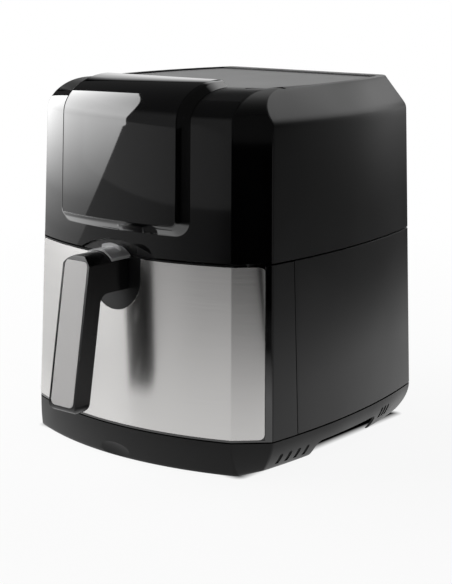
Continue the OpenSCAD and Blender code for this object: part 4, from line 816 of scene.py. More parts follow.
SCOOP_R, SCOOP_Z, SCOOP_DEPTH = np.array([34.0, 9.0, 13.0]), 5.0, -1.4
FOOT_SOCKET_R = 9.0
FEET = [(x, y) for x in (-90.0, 90.0) for y in (Y_CREASE + 30.0, Y_BACK - 50.0)]
POST_PROFILE = [
    (13, 3), (13, 20), (6, 20), (6, 34.8), (2.1, 34.8),
    (2.1, 13), (4.1, 13), (4.1, 6.2), (10.2, 6.2), (10.2, 3),
]
GLAND_X, GLAND_Z, GLAND_R = -70.0, 62.0, 7.0


def make_lower_body():
    obj = new_object("lower_body_shell", band(DRAWER_Z0, MID_Z - 1.2, 0.0, WALL, 3))
    front = block((-SIDEWAYS, -FAR, 0), (SIDEWAYS, Y_RETURN + 0.8, FAR))
    gland = along_y(circle(GLAND_R, (GLAND_X, GLAND_Z)), Y_BACK - 12, Y_BACK + 4)
    combined(obj, [joined(front, gland)])
    edge = sizes().edge / MM
    finished(obj, "body", polished_black(), ["lower_body"], edge, smooth=24)


def slot_row(start, step, count, z0, z1):
    """Upright air slots with round tops, through both sides."""
    r = SLOT_W / 2
    row = []
    for y in [start + step * i for i in range(count)]:
        arc = [(y + r * math.cos(a), z1 - r + r * math.sin(a)) for a in np.linspace(0, math.pi, 9)]
        row.append(along_x(np.array(arc + [(y - r, z0), (y + r, z0)]), -SIDEWAYS, SIDEWAYS))
    return row


def base_ring(z, inset=0.0):
    """The base tucks in a little less than the body's own curve."""
    return ring(z, inset - BASE_FLARE * tuck(z))


def scoop():
    """A shallow finger scoop in the base's lower edge, under the handle."""
    turn = np.linspace(0, math.pi, 25)
    v, f = turned([(math.sin(a), -math.cos(a)) for a in turn[1:-1]], (0, 0), 48)
    return v * SCOOP_R + np.array([0, float(front_y(0, SCOOP_Z)) - SCOOP_R[1] + SCOOP_DEPTH, SCOOP_Z]), f


def make_base():
    """The base: hollow above and below its web, with slots, hand recesses and the posts of its feet."""
    levels = [SKIRT_Z, SKIRT_Z + 0.5, 3, 4.5, 6, 8, 10, 12.5, 15, 18, 21, 24, 27, BASE_TOP]
    rings = [base_ring(z, SKIRT_ROUND * max(0.0, 1 - (z - SKIRT_Z) / SKIRT_ROUND_H) ** 2) for z in levels]
    obj = new_object("base_shell", lofted(rings))
    upper = lofted([base_ring(z, WALL) for z in (WEB_TOP, 26, SEAM_Z)])
    lower = lofted([base_ring(z, WALL) for z in (SKIRT_Z - 1, 3, 6, 9, 13, WEB_Z)])
    slots = slot_row(*FRONT_SLOTS) + slot_row(*REAR_SLOTS)
    foot_line = [(HAND_Y0, -5, 0), (HAND_Y1, -5, 0)]
    arch = filleted([*foot_line, (HAND_Y1, HAND_TOP, HAND_R), (HAND_Y0, HAND_TOP, HAND_R)])
    hand = along_x(arch, -SIDEWAYS, SIDEWAYS)
    sockets = [prism(circle(FOOT_SOCKET_R, foot), WEB_Z - 4, WEB_TOP + 4) for foot in FEET]
    combined(obj, [upper, joined(lower, *sockets), joined(hand, *slots), scoop()])
    posts = [turned(POST_PROFILE, foot) for foot in FEET]
    combined(obj, [joined(*posts)], "UNION")
    dark = moulded("base_plastic", colours().base, 0.36, 1300, vary=0.08, specular=0.25)
    finished(obj, "body", dark, ["base"], 0.6, smooth=24)


# ---- Drawer front ----

SKIN_Z0, SKIN_Z1 = SEAM_Z + 2.5, MID_Z - 3.0
SKIN_T, SKIN_R = 0.8, 4.0
FRONT_LEAN = math.atan(FRONT_SLOPE)
SKIN_END = Y_CREASE + 0.81 * FACET_D
SOCKET_HALF_W, SOCKET_Z = 28.5, MID_Z - 50.0
SOCKET_T, SOCKET_DEPTH = 3.4, 0.6
CAP_FRONT, CAP_T = SOCKET_T - 0.4, 3
SKIN_GAP = 0.2
FRONT_WALL = WALL + SKIN_T + SKIN_GAP
PANEL_Y, PANEL_HALF_W = Y_RETURN - 40.0, 131
HANDLE_W = 31.0


def behind_skin(gap=0.0):
    """Block behind the skin's ends, leaning back with the front."""
    solid = block((-SIDEWAYS, 0, -200), (SIDEWAYS, FAR, 400))
    return leaning(solid, math.degrees(FRONT_LEAN), (0, SKIN_END + gap, SEAM_Z))


def socket_outline(grow=0.0):
    """Front view of the U-shaped opening in the skin, open at its top."""
    r, centre = SOCKET_HALF_W + grow, SOCKET_Z + SOCKET_HALF_W
    arc = [(-r * math.cos(a), centre - r * math.sin(a)) for a in np.linspace(0, math.pi, 41)]
    return np.array(arc + [(r, DRAWER_Z1 + 5), (-r, DRAWER_Z1 + 5)])


def make_drawer_front():
    """A hollow moulding, open behind, with a bed for the steel skin and an opening for the handle."""
    obj = new_object("drawer_front_shell", filled(DRAWER_Z0, DRAWER_Z1, 0.0, 3))
    cavity = filled(DRAWER_Z0 + WALL, DRAWER_Z1 - WALL, FRONT_WALL, 3)
    rear = block((-SIDEWAYS, Y_RETURN, 0), (SIDEWAYS, FAR, FAR))
    combined(obj, [cavity, rear, block((-PANEL_HALF_W, PANEL_Y - 0.2, 20), (PANEL_HALF_W, 0, 200))])
    low, high, depth = SKIN_Z0 - SKIN_GAP, SKIN_Z1 + SKIN_GAP, SKIN_T + SKIN_GAP
    skin = new_object("skin_room", band(low, high, -1.0, depth, 3))
    combined(skin, [behind_skin(2 * SKIN_GAP)])
    merged(obj, skin, "DIFFERENCE")
    combined(obj, [along_y(socket_outline(SKIN_GAP), AHEAD, Y_BOW + 22)])
    finished(obj, "drawer", polished_black(), ["drawer_front"], 0.5, smooth=24)


def skin_corner(z, way):
    """What rounds off a corner of the skin's side ends, seen from the side; way is 1 at the lower one."""
    y = SKIN_END + math.tan(FRONT_LEAN) * (z - SEAM_Z)
    turn = np.linspace(0, math.pi / 2, 9)
    arc = [(y - SKIN_R + SKIN_R * math.cos(a), z + way * SKIN_R * (1 - math.sin(a))) for a in turn]
    points = arc + [(y - SKIN_R, z - way), (y + 1, z - way), (y + 1, z + way * SKIN_R)]
    return along_x(np.array(points[::way]), -SIDEWAYS, SIDEWAYS)


def make_steel_skin():
    obj = new_object("steel_front", band(SKIN_Z0, SKIN_Z1, 0.0, SKIN_T, 2))
    socket = along_y(socket_outline(), AHEAD, Y_CREASE + 30)
    combined(obj, [behind_skin(), skin_corner(SKIN_Z0, 1), skin_corner(SKIN_Z1, -1), socket])
    steel = brushed("brushed_steel", colours().steel, gloss().steel, gloss().brush)
    finished(obj, "drawer", steel, ["steel_skin"], sizes().skin_edge / MM, smooth=20)


def make_socket():
    """The dish round the handle's arm and the arched cap that fills the housing's notch."""
    dish = band(SOCKET_Z - 10, DRAWER_Z1, SOCKET_DEPTH, SOCKET_DEPTH + SOCKET_T, 3)
    plate = new_object("handle_recess", dish)
    overlap(plate, along_y(socket_outline(-SKIN_GAP), AHEAD, Y_CREASE + 30))
    cap = new_object("cap", band(DRAWER_Z1 - 10, MID_Z + 20, CAP_FRONT, CAP_FRONT + CAP_T, 3))
    overlap(cap, along_y(notch_outline(-1.0, -1.2), AHEAD, Y_CREASE + 30))
    merged(plate, cap, "UNION")
    half = HANDLE_W / 2 + 0.2
    cover = block((-half, AHEAD, CROWN_EDGE), (half, COVER_REAR + 0.2, CROWN_EDGE + CROWN_R))
    window = block((-LEVER_HALF_W, AHEAD, LEVER_Z - 6), (LEVER_HALF_W, Y_BOW + 40, LEVER_Z + 5))
    combined(plate, [cover, window])
    black = moulded("recess_black", (0.010, 0.010, 0.0105), 0.30, 1200, 0.015, vary=0.08)
    finished(plate, "drawer", black, ["handle_socket"], 0.4, smooth=24)


# ---- Handle ----

CROWN_R = 19.0
CROWN_Z = MID_Z + 4.5
CROWN_EDGE = CROWN_Z - CROWN_R + math.sqrt(CROWN_R**2 - HANDLE_W**2 / 4)
ARM_Z = CROWN_Z - 34.0
HANDLE_Z = 57.0
GRIP_T, GRIP_FOOT, SLOPE = 18.0, 1.8, 10.0
GRIP_FOOT_R, ELBOW_R, HANDLE_TOP_R, FOOT_CORNER_R = 6.5, 9.0, 7.5, 9
SLOPE_SIN, SLOPE_COS = math.sin(math.radians(SLOPE)), math.cos(math.radians(SLOPE))
ARM_REAR = float(front_y(0, ARM_Z)) + 0.4
GRIP_Y = -DEPTH / 2 + GRIP_T / 2 * SLOPE_COS - 3.15 * SLOPE_SIN
GRIP_L = (CROWN_Z - HANDLE_Z) / SLOPE_COS
GRIP = (0, GRIP_Y, HANDLE_Z)
COVER_L, COVER_T, COVER_GAP = 23.0, 1.6, 0.3
LIP_RISE, LIP_HALF_W = 2.6, 10.5
COVER_REAR = float(front_y(0, MID_Z)) + 2.4
LIP_FRONT, LIP_REAR = COVER_REAR - 8, COVER_REAR - 6
BUTTON_Y = COVER_REAR - COVER_L / 2 - 1.5
BUTTON_W, BUTTON_H, BUTTON_TOP = 15.0, 5.0, CROWN_Z - 3.0
BUTTON_R, BUTTON_GAP, BUTTON_DISH_R, BUTTON_DISH = 4.0, 0.5, 30, 0.8
POCKET_Z = CROWN_Z - 16.5
LEVER_TOP = POCKET_Z - 6.0
LEVER_Z, LEVER_HALF_W = LEVER_TOP - 2.0, 6
STEM_R = 2.6
INLAY_MARGIN, INLAY_T, INLAY_Z, INLAY_R = 2.0, 1.4, 3.0, 5.0
INLAY_L, INLAY_GAP = GRIP_L - 9.0, 0.15
BACK_L, BACK_Z, BACK_T = GRIP_L - 34.0 - 24.0, 7.0, 2.2
BACK_W = HANDLE_W - 8.0


def grip_point(y, z):
    """Where a point of the grip, y behind its middle and z along it, stands in the side view."""
    return GRIP_Y + y * SLOPE_COS + z * SLOPE_SIN, HANDLE_Z + z * SLOPE_COS - y * SLOPE_SIN


def grip_at(y, height):
    """The y of the grip's face at depth y, at a height above the table."""
    z = (height - HANDLE_Z + y * SLOPE_SIN) / SLOPE_COS
    return grip_point(y, z)[0]


def handle_side(rear):
    """Side view of the handle: a hanging grip and the arm that carries it."""
    half = GRIP_T / 2
    return filleted([
        (*grip_point(-half, -GRIP_FOOT), GRIP_FOOT_R),
        (*grip_point(half, -GRIP_FOOT), GRIP_FOOT_R),
        (grip_at(half, ARM_Z), ARM_Z, ELBOW_R),
        (rear, ARM_Z, 0),
        (rear, CROWN_Z, 0),
        (grip_at(-half, CROWN_Z), CROWN_Z, HANDLE_TOP_R),
    ], 12)


def handle_front():
    """Front view of the handle: straight sides under a crowned top."""
    half, low = HANDLE_W / 2, HANDLE_Z - 1.0 - GRIP_FOOT
    turn = math.asin(half / CROWN_R)
    crown = bow(CROWN_R, CROWN_Z - CROWN_R, np.linspace(turn, -turn, 21))
    r = FOOT_CORNER_R
    foot = filleted([(-half, low + 40, 0), (-half, low, r), (half, low, r), (half, low + 40, 0)])
    return np.vstack([foot[1:-1], crown])


def on_grip(outline_xz, y0, y1):
    """A shape drawn on the grip's face as (x, length), extruded between two depths."""
    return leaning(along_y(outline_xz, y0, y1), SLOPE, GRIP)


def make_handle_shell():
    """The arm and grip in one, with room for the inlay, the back strip, the button and the lever."""
    obj = new_object("handle", along_x(handle_side(ARM_REAR + 12), -HANDLE_W / 2, HANDLE_W / 2))
    overlap(obj, along_y(handle_front(), -DEPTH / 2 - 12, ARM_REAR + 30))
    round_edges(obj, sizes().handle_round / MM, 5, 48)
    round_edges(obj, 1.2, 3, 24)
    inlay = rounded_rect(HANDLE_W - 2 * INLAY_MARGIN, INLAY_L, INLAY_R, (0, INLAY_Z + INLAY_L / 2))
    rear = rounded_rect(BACK_W, BACK_L, 1.0, (0, BACK_Z + BACK_L / 2))
    hollow = rounded_rect(BACK_W - 4, BACK_L - 4, 2.0, (0, BACK_Z + BACK_L / 2))
    side = BUTTON_W + 2 * BUTTON_GAP
    pocket = prism(rounded_rect(side, side, BUTTON_R + BUTTON_GAP, (0, BUTTON_Y)), POCKET_Z, CROWN_Z + 20)
    stem = prism(circle(STEM_R + 0.2, (0, BUTTON_Y)), POCKET_Z - 10, POCKET_Z + 1)
    front, rear_end = BUTTON_Y - 8, BUTTON_Y + 52
    lever = block((-LEVER_HALF_W, front, LEVER_Z - 7), (LEVER_HALF_W, rear_end, LEVER_TOP + 3))
    combined(obj, [
        block((-60, ARM_REAR, 0), (60, ARM_REAR + 60, 300)),
        on_grip(inlay, -GRIP_T / 2 - 6, -GRIP_T / 2 + INLAY_T),
        on_grip(rear, GRIP_T / 2 - BACK_T, GRIP_T / 2 + 6),
        on_grip(hollow, -GRIP_T / 2 + INLAY_T + 2.5, GRIP_T / 2 + 3),
        pocket,
        lever,
        stem,
    ])
    black = moulded(
        "handle_black", colours().handle, 0.22, 200, 0.004,
        vary=0.1, rough_vary=0.3, strength=0.15, specular=0.35,
    )
    finished(obj, "drawer", black, ["handle_shell"], 0.25, 40, smooth=28)


def make_inlay():
    gap = INLAY_GAP
    width = HANDLE_W - 2 * INLAY_MARGIN - 2 * gap
    shape = rounded_rect(width, INLAY_L - 2 * gap, INLAY_R - gap, (0, INLAY_Z + INLAY_L / 2))
    obj = new_object("handle_strip", on_grip(shape, -GRIP_T / 2, -GRIP_T / 2 + INLAY_T - gap))
    silver = moulded(
        "satin_silver", colours().inlay, 0.5, 1600, 0.01, vary=0.03, rough_vary=0.1, metal=0.15
    )
    finished(obj, "drawer", silver, ["handle_inlay"], 0.45, smooth=20, segments=3)


def vault(r0, r1, half, y0, y1, centre_z):
    """An arched sheet between two radii, as wide as twice half."""
    points = []
    for r, way in ((r1, 1), (r0, -1)):
        points += bow(r, centre_z, np.linspace(way, -way, 33) * math.asin(half / r))
    return along_y(np.array(points), y0, y1)


def make_cover():
    """The clear vaulted slider over the button, with a lip to push it by."""
    centre = CROWN_Z - CROWN_R
    r0 = CROWN_R + COVER_GAP
    r1 = r0 + COVER_T
    shell = vault(r0, r1, HANDLE_W / 2, COVER_REAR - COVER_L, COVER_REAR, centre)
    obj = new_object("button_slider", shell)
    lip = vault(r0 + COVER_T / 2, r1 + LIP_RISE, LIP_HALF_W, LIP_FRONT, LIP_REAR, centre)
    combined(obj, [lip], "UNION")
    window = clear("clear_plastic", (0.9, 0.9, 0.91), 0.1)
    finished(obj, "button_cover", window, ["button_cover"], 0.35, smooth=28)


def make_button():
    """The release button with its stem and a dished top."""
    shape = rounded_rect(BUTTON_W, BUTTON_W, BUTTON_R, (0, BUTTON_Y))
    obj = new_object("press_button", prism(shape, BUTTON_TOP - BUTTON_H, BUTTON_TOP))
    stem = prism(circle(STEM_R, (0, BUTTON_Y), 24), LEVER_TOP + 0.6, BUTTON_TOP - BUTTON_H + 1)
    combined(obj, [stem], "UNION")
    round_edges(obj, 0.9, 3, 50)
    dish = [(x, -z) for x, z in bow(BUTTON_DISH_R, -BUTTON_DISH_R, np.linspace(0, 0.3, 12))]
    bowl = [(max(r, 0.01), BUTTON_TOP - BUTTON_DISH + z) for r, z in dish] + [(0.01, BUTTON_TOP + 9)]
    combined(obj, [turned(bowl, (0, BUTTON_Y))])
    grey = moulded("button_grey", (0.16, 0.16, 0.165), 0.4, 900, 0.01, vary=0.05)
    finished(obj, "release_button", grey, ["release_button"], smooth=28)


# ---- Pan and basket ----

PAN_Z, PAN_TOP = LINER_Z + 6.0, MID_Z - 15.0
PAN_W, PAN_D, PAN_R, PAN_T = 204.0, 206.4, 30.0, 1.2
PAN_CY = 45.0
PAN_FLOOR_R = 8.0
FLANGE, DRAFT = 8.0, 5.0
BASKET_Z, BASKET_TOP = PAN_Z + PAN_T + 11.0, PAN_TOP + 1.4
BASKET_T, BASKET_LEDGE = 1.0, 9.0
GRATE_W, GRATE_H, GRATE_R, GRATE_STEP = 4, 22, 2, 15
BASKET_W, BASKET_D, BASKET_R = PAN_W - 2 * PAN_T - 6, PAN_D - 2 * PAN_T - 6, PAN_R - PAN_T - 3


def tub(w, d, z0, z1):
    """Rings of a drawn tub: give it a growth, a radius, a height and its share of the draft."""

    def at(grow, radius, z, share=1.0):
        lean = DRAFT * share * (z1 - z) / (z1 - z0)
        width, depth = w + grow - 2 * lean, d + grow - 2 * lean
        return at_height(rounded_rect(width, depth, radius, (0, PAN_CY), 8), z)

    return at


def make_pan():
    """The deep-drawn pan, with a rounded floor and a flat rim."""
    at = tub(PAN_W, PAN_D, PAN_Z, PAN_TOP)
    f, t = PAN_FLOOR_R, PAN_T

    def bend(inset, a):
        """A ring of the rounded floor, inset from its outer face."""
        grow = -2 * inset - 2 * f + 2 * f * math.sin(a)
        return at(grow, PAN_R - inset, PAN_Z + inset + f - f * math.cos(a))

    turn = np.radians(np.linspace(0, 90, 7))
    outer = [*(bend(0, a) for a in turn), at(0, PAN_R, PAN_TOP - t)]
    rim = [at(2 * FLANGE, PAN_R + FLANGE, z, 0) for z in (PAN_TOP - t, PAN_TOP)]
    inner = [at(-2 * t, PAN_R - t, PAN_TOP), *(bend(t, a) for a in turn[::-1])]
    obj = new_object("drawer_pan", lofted(outer + rim + inner))
    finished(obj, "drawer", coating(), ["pan"], 0.4, smooth=32)


def coating():
    """The dark non-stick coat of pan, basket and crisper plate."""
    return moulded("nonstick", colours().coating, 0.34, 700, 0.03, vary=0.15, rough_vary=0.2, metal=0.2)


def make_basket():
    """The basket: an open floor with a ledge for the crisper plate, and slots through its walls."""
    at = tub(BASKET_W, BASKET_D, BASKET_Z, BASKET_TOP)
    t, r, top = BASKET_T, BASKET_R, BASKET_TOP
    rim = [at(2 * FLANGE, r + FLANGE, z, 0) for z in (top - t, top)]
    outer = [at(0, r, BASKET_Z), at(0, r, top - t)]
    inner = [at(-2 * t, r - t, top), at(-2 * t, r - t, BASKET_Z + t)]
    obj = new_object("inner_basket", lofted(outer + rim + inner))
    lip = 2 * (DRAFT + t + BASKET_LEDGE)
    opening = rounded_rect(BASKET_W - lip, BASKET_D - lip, r - BASKET_LEDGE, (0, PAN_CY))
    floor = prism(opening, BASKET_Z - 1, BASKET_Z + 10)
    z = BASKET_Z + 16 + GRATE_H / 2
    slot = rounded_rect(GRATE_W, GRATE_H, GRATE_R, (0, 0), 4)
    lengthways = [along_y(slot + [GRATE_STEP * k, z], -FAR, FAR) for k in range(-4, 5)]
    across = [along_x(slot + [PAN_CY + GRATE_STEP * k, z], -FAR, FAR) for k in range(-4, 5)]
    combined(obj, [floor, joined(*lengthways), joined(*across)])
    finished(obj, "drawer", coating(), ["basket"], 0.25, smooth=32)


# ---- Pieces that keep the frame's own shape ----

SMOOTH_BELOW, FLAT_BELOW = math.radians(32), math.radians(0.5)


def soft_shading():
    """A node group that shades a mesh smooth except across its sharp edges."""
    group = bpy.data.node_groups.new("soft_shading", "GeometryNodeTree")
    group.interface.new_socket("Geometry", in_out="INPUT", socket_type="NodeSocketGeometry")
    group.interface.new_socket("Geometry", in_out="OUTPUT", socket_type="NodeSocketGeometry")
    new, link = group.nodes.new, group.links.new
    angle, small = new("GeometryNodeInputMeshEdgeAngle"), new("FunctionNodeCompare")
    small.data_type, small.operation = "FLOAT", "LESS_THAN"
    small.inputs["B"].default_value = SMOOTH_BELOW
    link(angle.outputs["Unsigned Angle"], small.inputs["A"])
    geometry = new("NodeGroupInput").outputs["Geometry"]
    for domain in ("FACE", "EDGE"):
        smooth = new("GeometryNodeSetShadeSmooth")
        smooth.domain = domain
        link(geometry, smooth.inputs["Geometry"])
        geometry = smooth.outputs["Geometry"]
    link(small.outputs["Result"], smooth.inputs["Shade Smooth"])
    link(geometry, new("NodeGroupOutput").inputs["Geometry"])
    return group


def dress(name, finish, bevel, shading):
    """Gives a node of the frame its finish, with its edges softened by modifiers."""
    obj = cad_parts[name]
    obj.data.materials.clear()
    obj.data.materials.append(finish)
    weld = obj.modifiers.new("weld", "WELD")
    weld.merge_threshold = MERGE_DISTANCE
    flat = obj.modifiers.new("flat", "DECIMATE")
    flat.decimate_type, flat.angle_limit = "DISSOLVE", FLAT_BELOW
    if bevel:
        add_bevel(obj, bevel)
    obj.modifiers.new("shading", "NODES").node_group = shading


def inner_finishes():
    """Finishes of the pieces inside, each with its nodes and the rounding of their edges."""
    sheet_metal = moulded(
        "galvanised_sheet", (0.42, 0.43, 0.44), 0.36, 500, 0.01, vary=0.1, rough_vary=0.2, metal=0.9
    )
    return [
        (moulded("rubber", (0.018, 0.018, 0.018), 0.75, 700, 0.04),
         {"rubber_feet": 0.4, "cord_gland": 0.4}),
        (moulded("screw_steel", (0.5, 0.5, 0.51), 0.3, 900, 0.01, metal=1.0),
         {"base_screws": 0.15, "handle_screws": 0.1, "drawer_screws": 0.15, "motor_screws": 0.15}),
        (sheet_metal,
         {"bottom_plate": 0.15, "drawer_rails": 0.15, "motor_bracket": 0.2, "exhaust_duct": 0.15,
          "pan_brackets": 0.2, "latch_bracket": 0.2, "basket_strap": 0.3, "pan_catch": 0.25}),
        (moulded("aluminised_steel", (0.46, 0.46, 0.455), 0.33, 250, 0.01, 0.12, 0.3, metal=0.9),
         {"chamber_liner": 0.15, "heat_dome": 0.2}),
        (moulded("inner_plastic", (0.02, 0.02, 0.0205), 0.5, 1000, 0.02),
         {"front_frame": 0.2, "deck": 0.25, "drawer_panel": 0.3, "drawer_switch": 0.3,
          "handle_back": 0.35}),
        (moulded("grille_plastic", (0.014, 0.014, 0.0145), 0.42, 1200, 0.02), {"rear_grille": 0.25}),
        (moulded("element_tube", (0.10, 0.095, 0.09), 0.42, 300, vary=0.25, metal=0.8),
         {"heating_element": 0}),
        (moulded("ceramic", (0.75, 0.73, 0.67), 0.5, 400, 0.02), {"element_bushes": 0.2}),
        (moulded("chromed_wire", (0.55, 0.55, 0.56), 0.18, 300, 0.005, metal=1.0), {"guard_grille": 0.3}),
        (moulded("motor_iron", (0.14, 0.14, 0.145), 0.5, 500, 0.02, metal=0.6), {"motor": 0.3}),
        (moulded("bronze", (0.45, 0.32, 0.16), 0.4, 500, 0.01, metal=1.0), {"motor_bearings": 0.15}),
        (moulded("fan_aluminium", (0.56, 0.57, 0.58), 0.35, 300, 0.01, metal=1.0),
         {"convection_fan": 0.15, "cooling_fan": 0.15}),
        (moulded("brass", (0.52, 0.43, 0.22), 0.33, 400, 0.01, metal=1.0), {"fan_nut": 0.25}),
        (moulded("shaft_steel", (0.5, 0.5, 0.52), 0.2, 400, 0.005, metal=1.0),
         {"motor_shaft": 0.3, "latch_pin": 0.2}),
        (moulded("circuit_board_green", (0.01, 0.10, 0.05), 0.4, 300, 0.02, 0.2),
         {"display_board": 0.15}),
        (moulded("circuit_board_brown", (0.20, 0.13, 0.05), 0.5, 300, 0.02, 0.2), {"power_board": 0.2}),
        (moulded("white_plastic", (0.62, 0.62, 0.60), 0.45),
         {"board_carrier": 0.25, "latch_lever": 0.25}),
        (moulded("sensor_steel", (0.5, 0.5, 0.5), 0.3, 300, 0.01, metal=1.0),
         {"temperature_sensor": 0.2}),
        (moulded("fuse_case", (0.55, 0.52, 0.42), 0.4, 300, 0.01), {"thermal_fuse": 0.2}),
        (coating(), {"crisper_plate": 0.3}),
        (moulded("silicone", (0.04, 0.04, 0.041), 0.65, 600, 0.03), {"crisper_bumpers": 0.5}),
        (moulded("spring_steel", (0.5, 0.5, 0.5), 0.25, 400, 0.005, metal=1.0), {"button_spring": 0}),
    ]


# ---- Stage ----

EYE = (0.8815, -1.0244, 0.4282)
AIM = (-0.0033, 0.0494, 0.1224)
LENS = 92.5
VIEW_TURN = math.atan2(EYE[0] - AIM[0], -(EYE[1] - AIM[1]))
CENTRE = Vector((0.0, 0.02, 0.16))
POOL_SIDE, POOL_END, POOL_HALF_WIDTH, POOL_FADE = -0.4, 0.2, 0.87, 0.35
PAPER_WHITE, FLOOR_SHADE, FLOOR_SLOPE, FLOOR_GLOW = 0.93, 0.30, 0.10, 0.92
FLOOR_SIZE, BACKDROP_HALF_WIDTH, BACKDROP_HEIGHT, BACKDROP_AWAY = 12.0, 1.6, 1.8, 3.0
WORLD_LEVEL = 0.04
LEFT_AZIMUTH, LEFT_DISTANCE, LEFT_RADIANCE = -72, 1.25, 4.6
LEFT_SIDES, LEFT_TOP = (-0.68, 1.02), 2.0
LEFT_CUT, LEFT_CUT_SLOPE = (0.576, 0.118), 0.275
LEFT_ROUND, LEFT_ROUND_AT = (1.42, 1.5), (-0.4, 0.5)
TOP_BOX_PLACE, TOP_BOX_SIZE, TOP_BOX_RADIANCE = (176, 40, 1.7), 1.3, 1.5
REAR_BOX_PLACE, REAR_BOX_SIZE, REAR_BOX_RADIANCE = (163, 8, 3.2), (1.2, 1.5), 1.1
FRONT_PANEL_PLACE, FRONT_PANEL_Z = (-22, 0, 2.2), 1.0
FRONT_PANEL_SIZE, FRONT_PANEL_RADIANCE = (3.2, 1.9), 0.11
# FOOTPRINT is the area under the base where the floor has a painted black shadow.
FOOTPRINT, FOOTPRINT_AT = (0.116, 0.118), (0.0, 0.04)

# Start and end of changes in the floor and backdrop, in metres.
FLOOR_SHARE_REACH, HALL_REACH, CONTACT_REACH = (0.3, 1.1), (1.1, 1.35), (0.0, 0.01)
POOL_LEFT_END, BACKDROP_LEFT_END = (-0.6, -0.3), (-0.85, -0.55)

# Stops of (place, share) for the brightness of the lamps and of what the reflections show.
LEFT_FADE = (
    (0.0, 0.03), (0.04, 0.04), (0.1, 0.12), (0.165, 0.4),
    (0.23, 0.76), (0.6, 0.98), (1.26, 0.88), (2.0, 0.6),
)
TOP_FADE = ((0.0, 0.0), (0.15, 0.9), (0.3, 1.0), (1.0, 1.0), (1.3, 0.0))
FRONT_FADE = ((0.0, 1.0), (1.1, 1.0), (1.9, 0.0))
# HALL_FADE, NEAR_FADE and NEAR_RING shape painted light on the floor, seen only in reflections.
HALL_FADE = (
    (-1.0, 0.14), (-0.8, 0.12), (-0.65, 0.0), (0.0, 0.0), (0.2, 0.07),
    (0.39, 0.10), (0.66, 0.18), (0.82, 0.22), (0.95, 0.24), (1.0, 0.25),
)
NEAR_FADE = ((-1.0, 0.25), (-0.8, 0.15), (-0.6, 0.05), (-0.2, 0.05), (0.0, 0.2), (0.4, 0.8), (1.0, 0.72))
NEAR_RING = ((0.0, 0.12), (0.32, 0.12), (0.5, 1.0), (1.05, 1.0), (1.35, 0.0))
BACKDROP_FADE = ((0.0, 0.85), (0.85, 0.85), (1.3, 0.6), (1.75, 0.0))


def towards(azimuth, elevation, away):
    """A point seen from the object's middle; azimuth 0 is the front and 90 the right side."""
    a, e = math.radians(azimuth), math.radians(elevation)
    x, y, z = math.sin(a) * math.cos(e), -math.cos(a) * math.cos(e), math.sin(e)
    return CENTRE + away * Vector((x, y, z))


def aim(obj, place, target):
    """Puts a lamp or camera at a place, turned to a target."""
    obj.location = place
    obj.rotation_mode = "QUATERNION"
    obj.rotation_quaternion = (target - place).to_track_quat("-Z", "Y")


def soft_box(name, place, target, width, height, radiance):
    """A rectangular lamp, with the brightness of its surface given directly."""
    lamp = bpy.data.lights.new(name, "AREA")
    lamp.shape, lamp.size, lamp.size_y = "RECTANGLE", width, height
    lamp.energy = radiance * width * height * math.pi
    obj = placed(name, lamp)
    aim(obj, place, target)
    obj.visible_camera = False
    return obj


def graded(tree, value, stops):
    """A number that follows stops of (value, share)."""
    low, high = stops[0][0], stops[-1][0]
    ramp = node(tree, "ValToRGB", Fac=spread(tree, value, 0.0, 1.0, low, high))
    while len(ramp.color_ramp.elements) < len(stops):
        ramp.color_ramp.elements.new(0.5)
    for stop, (at, share) in zip(ramp.color_ramp.elements, stops):
        stop.position, stop.color = (at - low) / (high - low), (share, share, share, 1)
    return ramp.outputs["Color"]


def lamp_axes(obj, *directions):
    """Nodes that measure a lamp's surface along some directions, from the world's origin."""
    obj.data.use_nodes = True
    tree = obj.data.node_tree
    place = node(tree, "NewGeometry").outputs["Position"]
    out = []
    for direction in directions:
        dot = node(tree, "VectorMath")
        dot.operation = "DOT_PRODUCT"
        feed(tree, dot.inputs[0], place)
        feed(tree, dot.inputs[1], direction)
        out.append(dot.outputs["Value"])
    return tree, out


def raised(tree, value, reach):
    """0 up to the start of a reach and 1 from its end."""
    return spread(tree, value, 0.0, 1.0, *reach)


def over(tree, value, limit):
    """How far a value is above a limit, and 0 below it."""
    return maths(tree, "MAXIMUM", maths(tree, "SUBTRACT", value, limit), 0.0)


def lamp_strength(tree, *factors):
    feed(tree, tree.nodes["Emission"].inputs["Strength"], product(tree, *factors))


def left_panel():
    """A tall panel left of the front, with a dim foot, a slanted lower and a round upper corner."""
    foot = towards(LEFT_AZIMUTH, 0, LEFT_DISTANCE)
    foot.z = 0.0
    a = math.radians(LEFT_AZIMUTH)
    side = Vector((math.cos(a), math.sin(a), 0))
    outward = side.cross(Vector((0, 0, 1)))
    low, high = LEFT_SIDES
    place = foot + side * (low + high) / 2 + Vector((0, 0, LEFT_TOP / 2))
    panel = soft_box("left_panel", place, place - outward, high - low, LEFT_TOP, LEFT_RADIANCE)
    slant = Vector((0, 0, 1)) - side * LEFT_CUT_SLOPE
    tree, (height, aside, slanted) = lamp_axes(panel, (0, 0, 1), side, slant)
    edge = slant.dot(foot + side * LEFT_CUT[0] + Vector((0, 0, LEFT_CUT[1])))

    def beyond(value, start, reach):
        return maths(tree, "POWER", maths(tree, "DIVIDE", over(tree, value, start), reach), 2.0)

    across = beyond(aside, side.dot(foot) + LEFT_ROUND_AT[0], LEFT_ROUND[0])
    upward = beyond(height, LEFT_ROUND_AT[1], LEFT_ROUND[1])
    inside = maths(tree, "LESS_THAN", maths(tree, "ADD", across, upward), 1.0)
    above = maths(tree, "GREATER_THAN", slanted, edge)
    lamp_strength(tree, graded(tree, height, LEFT_FADE), above, inside)


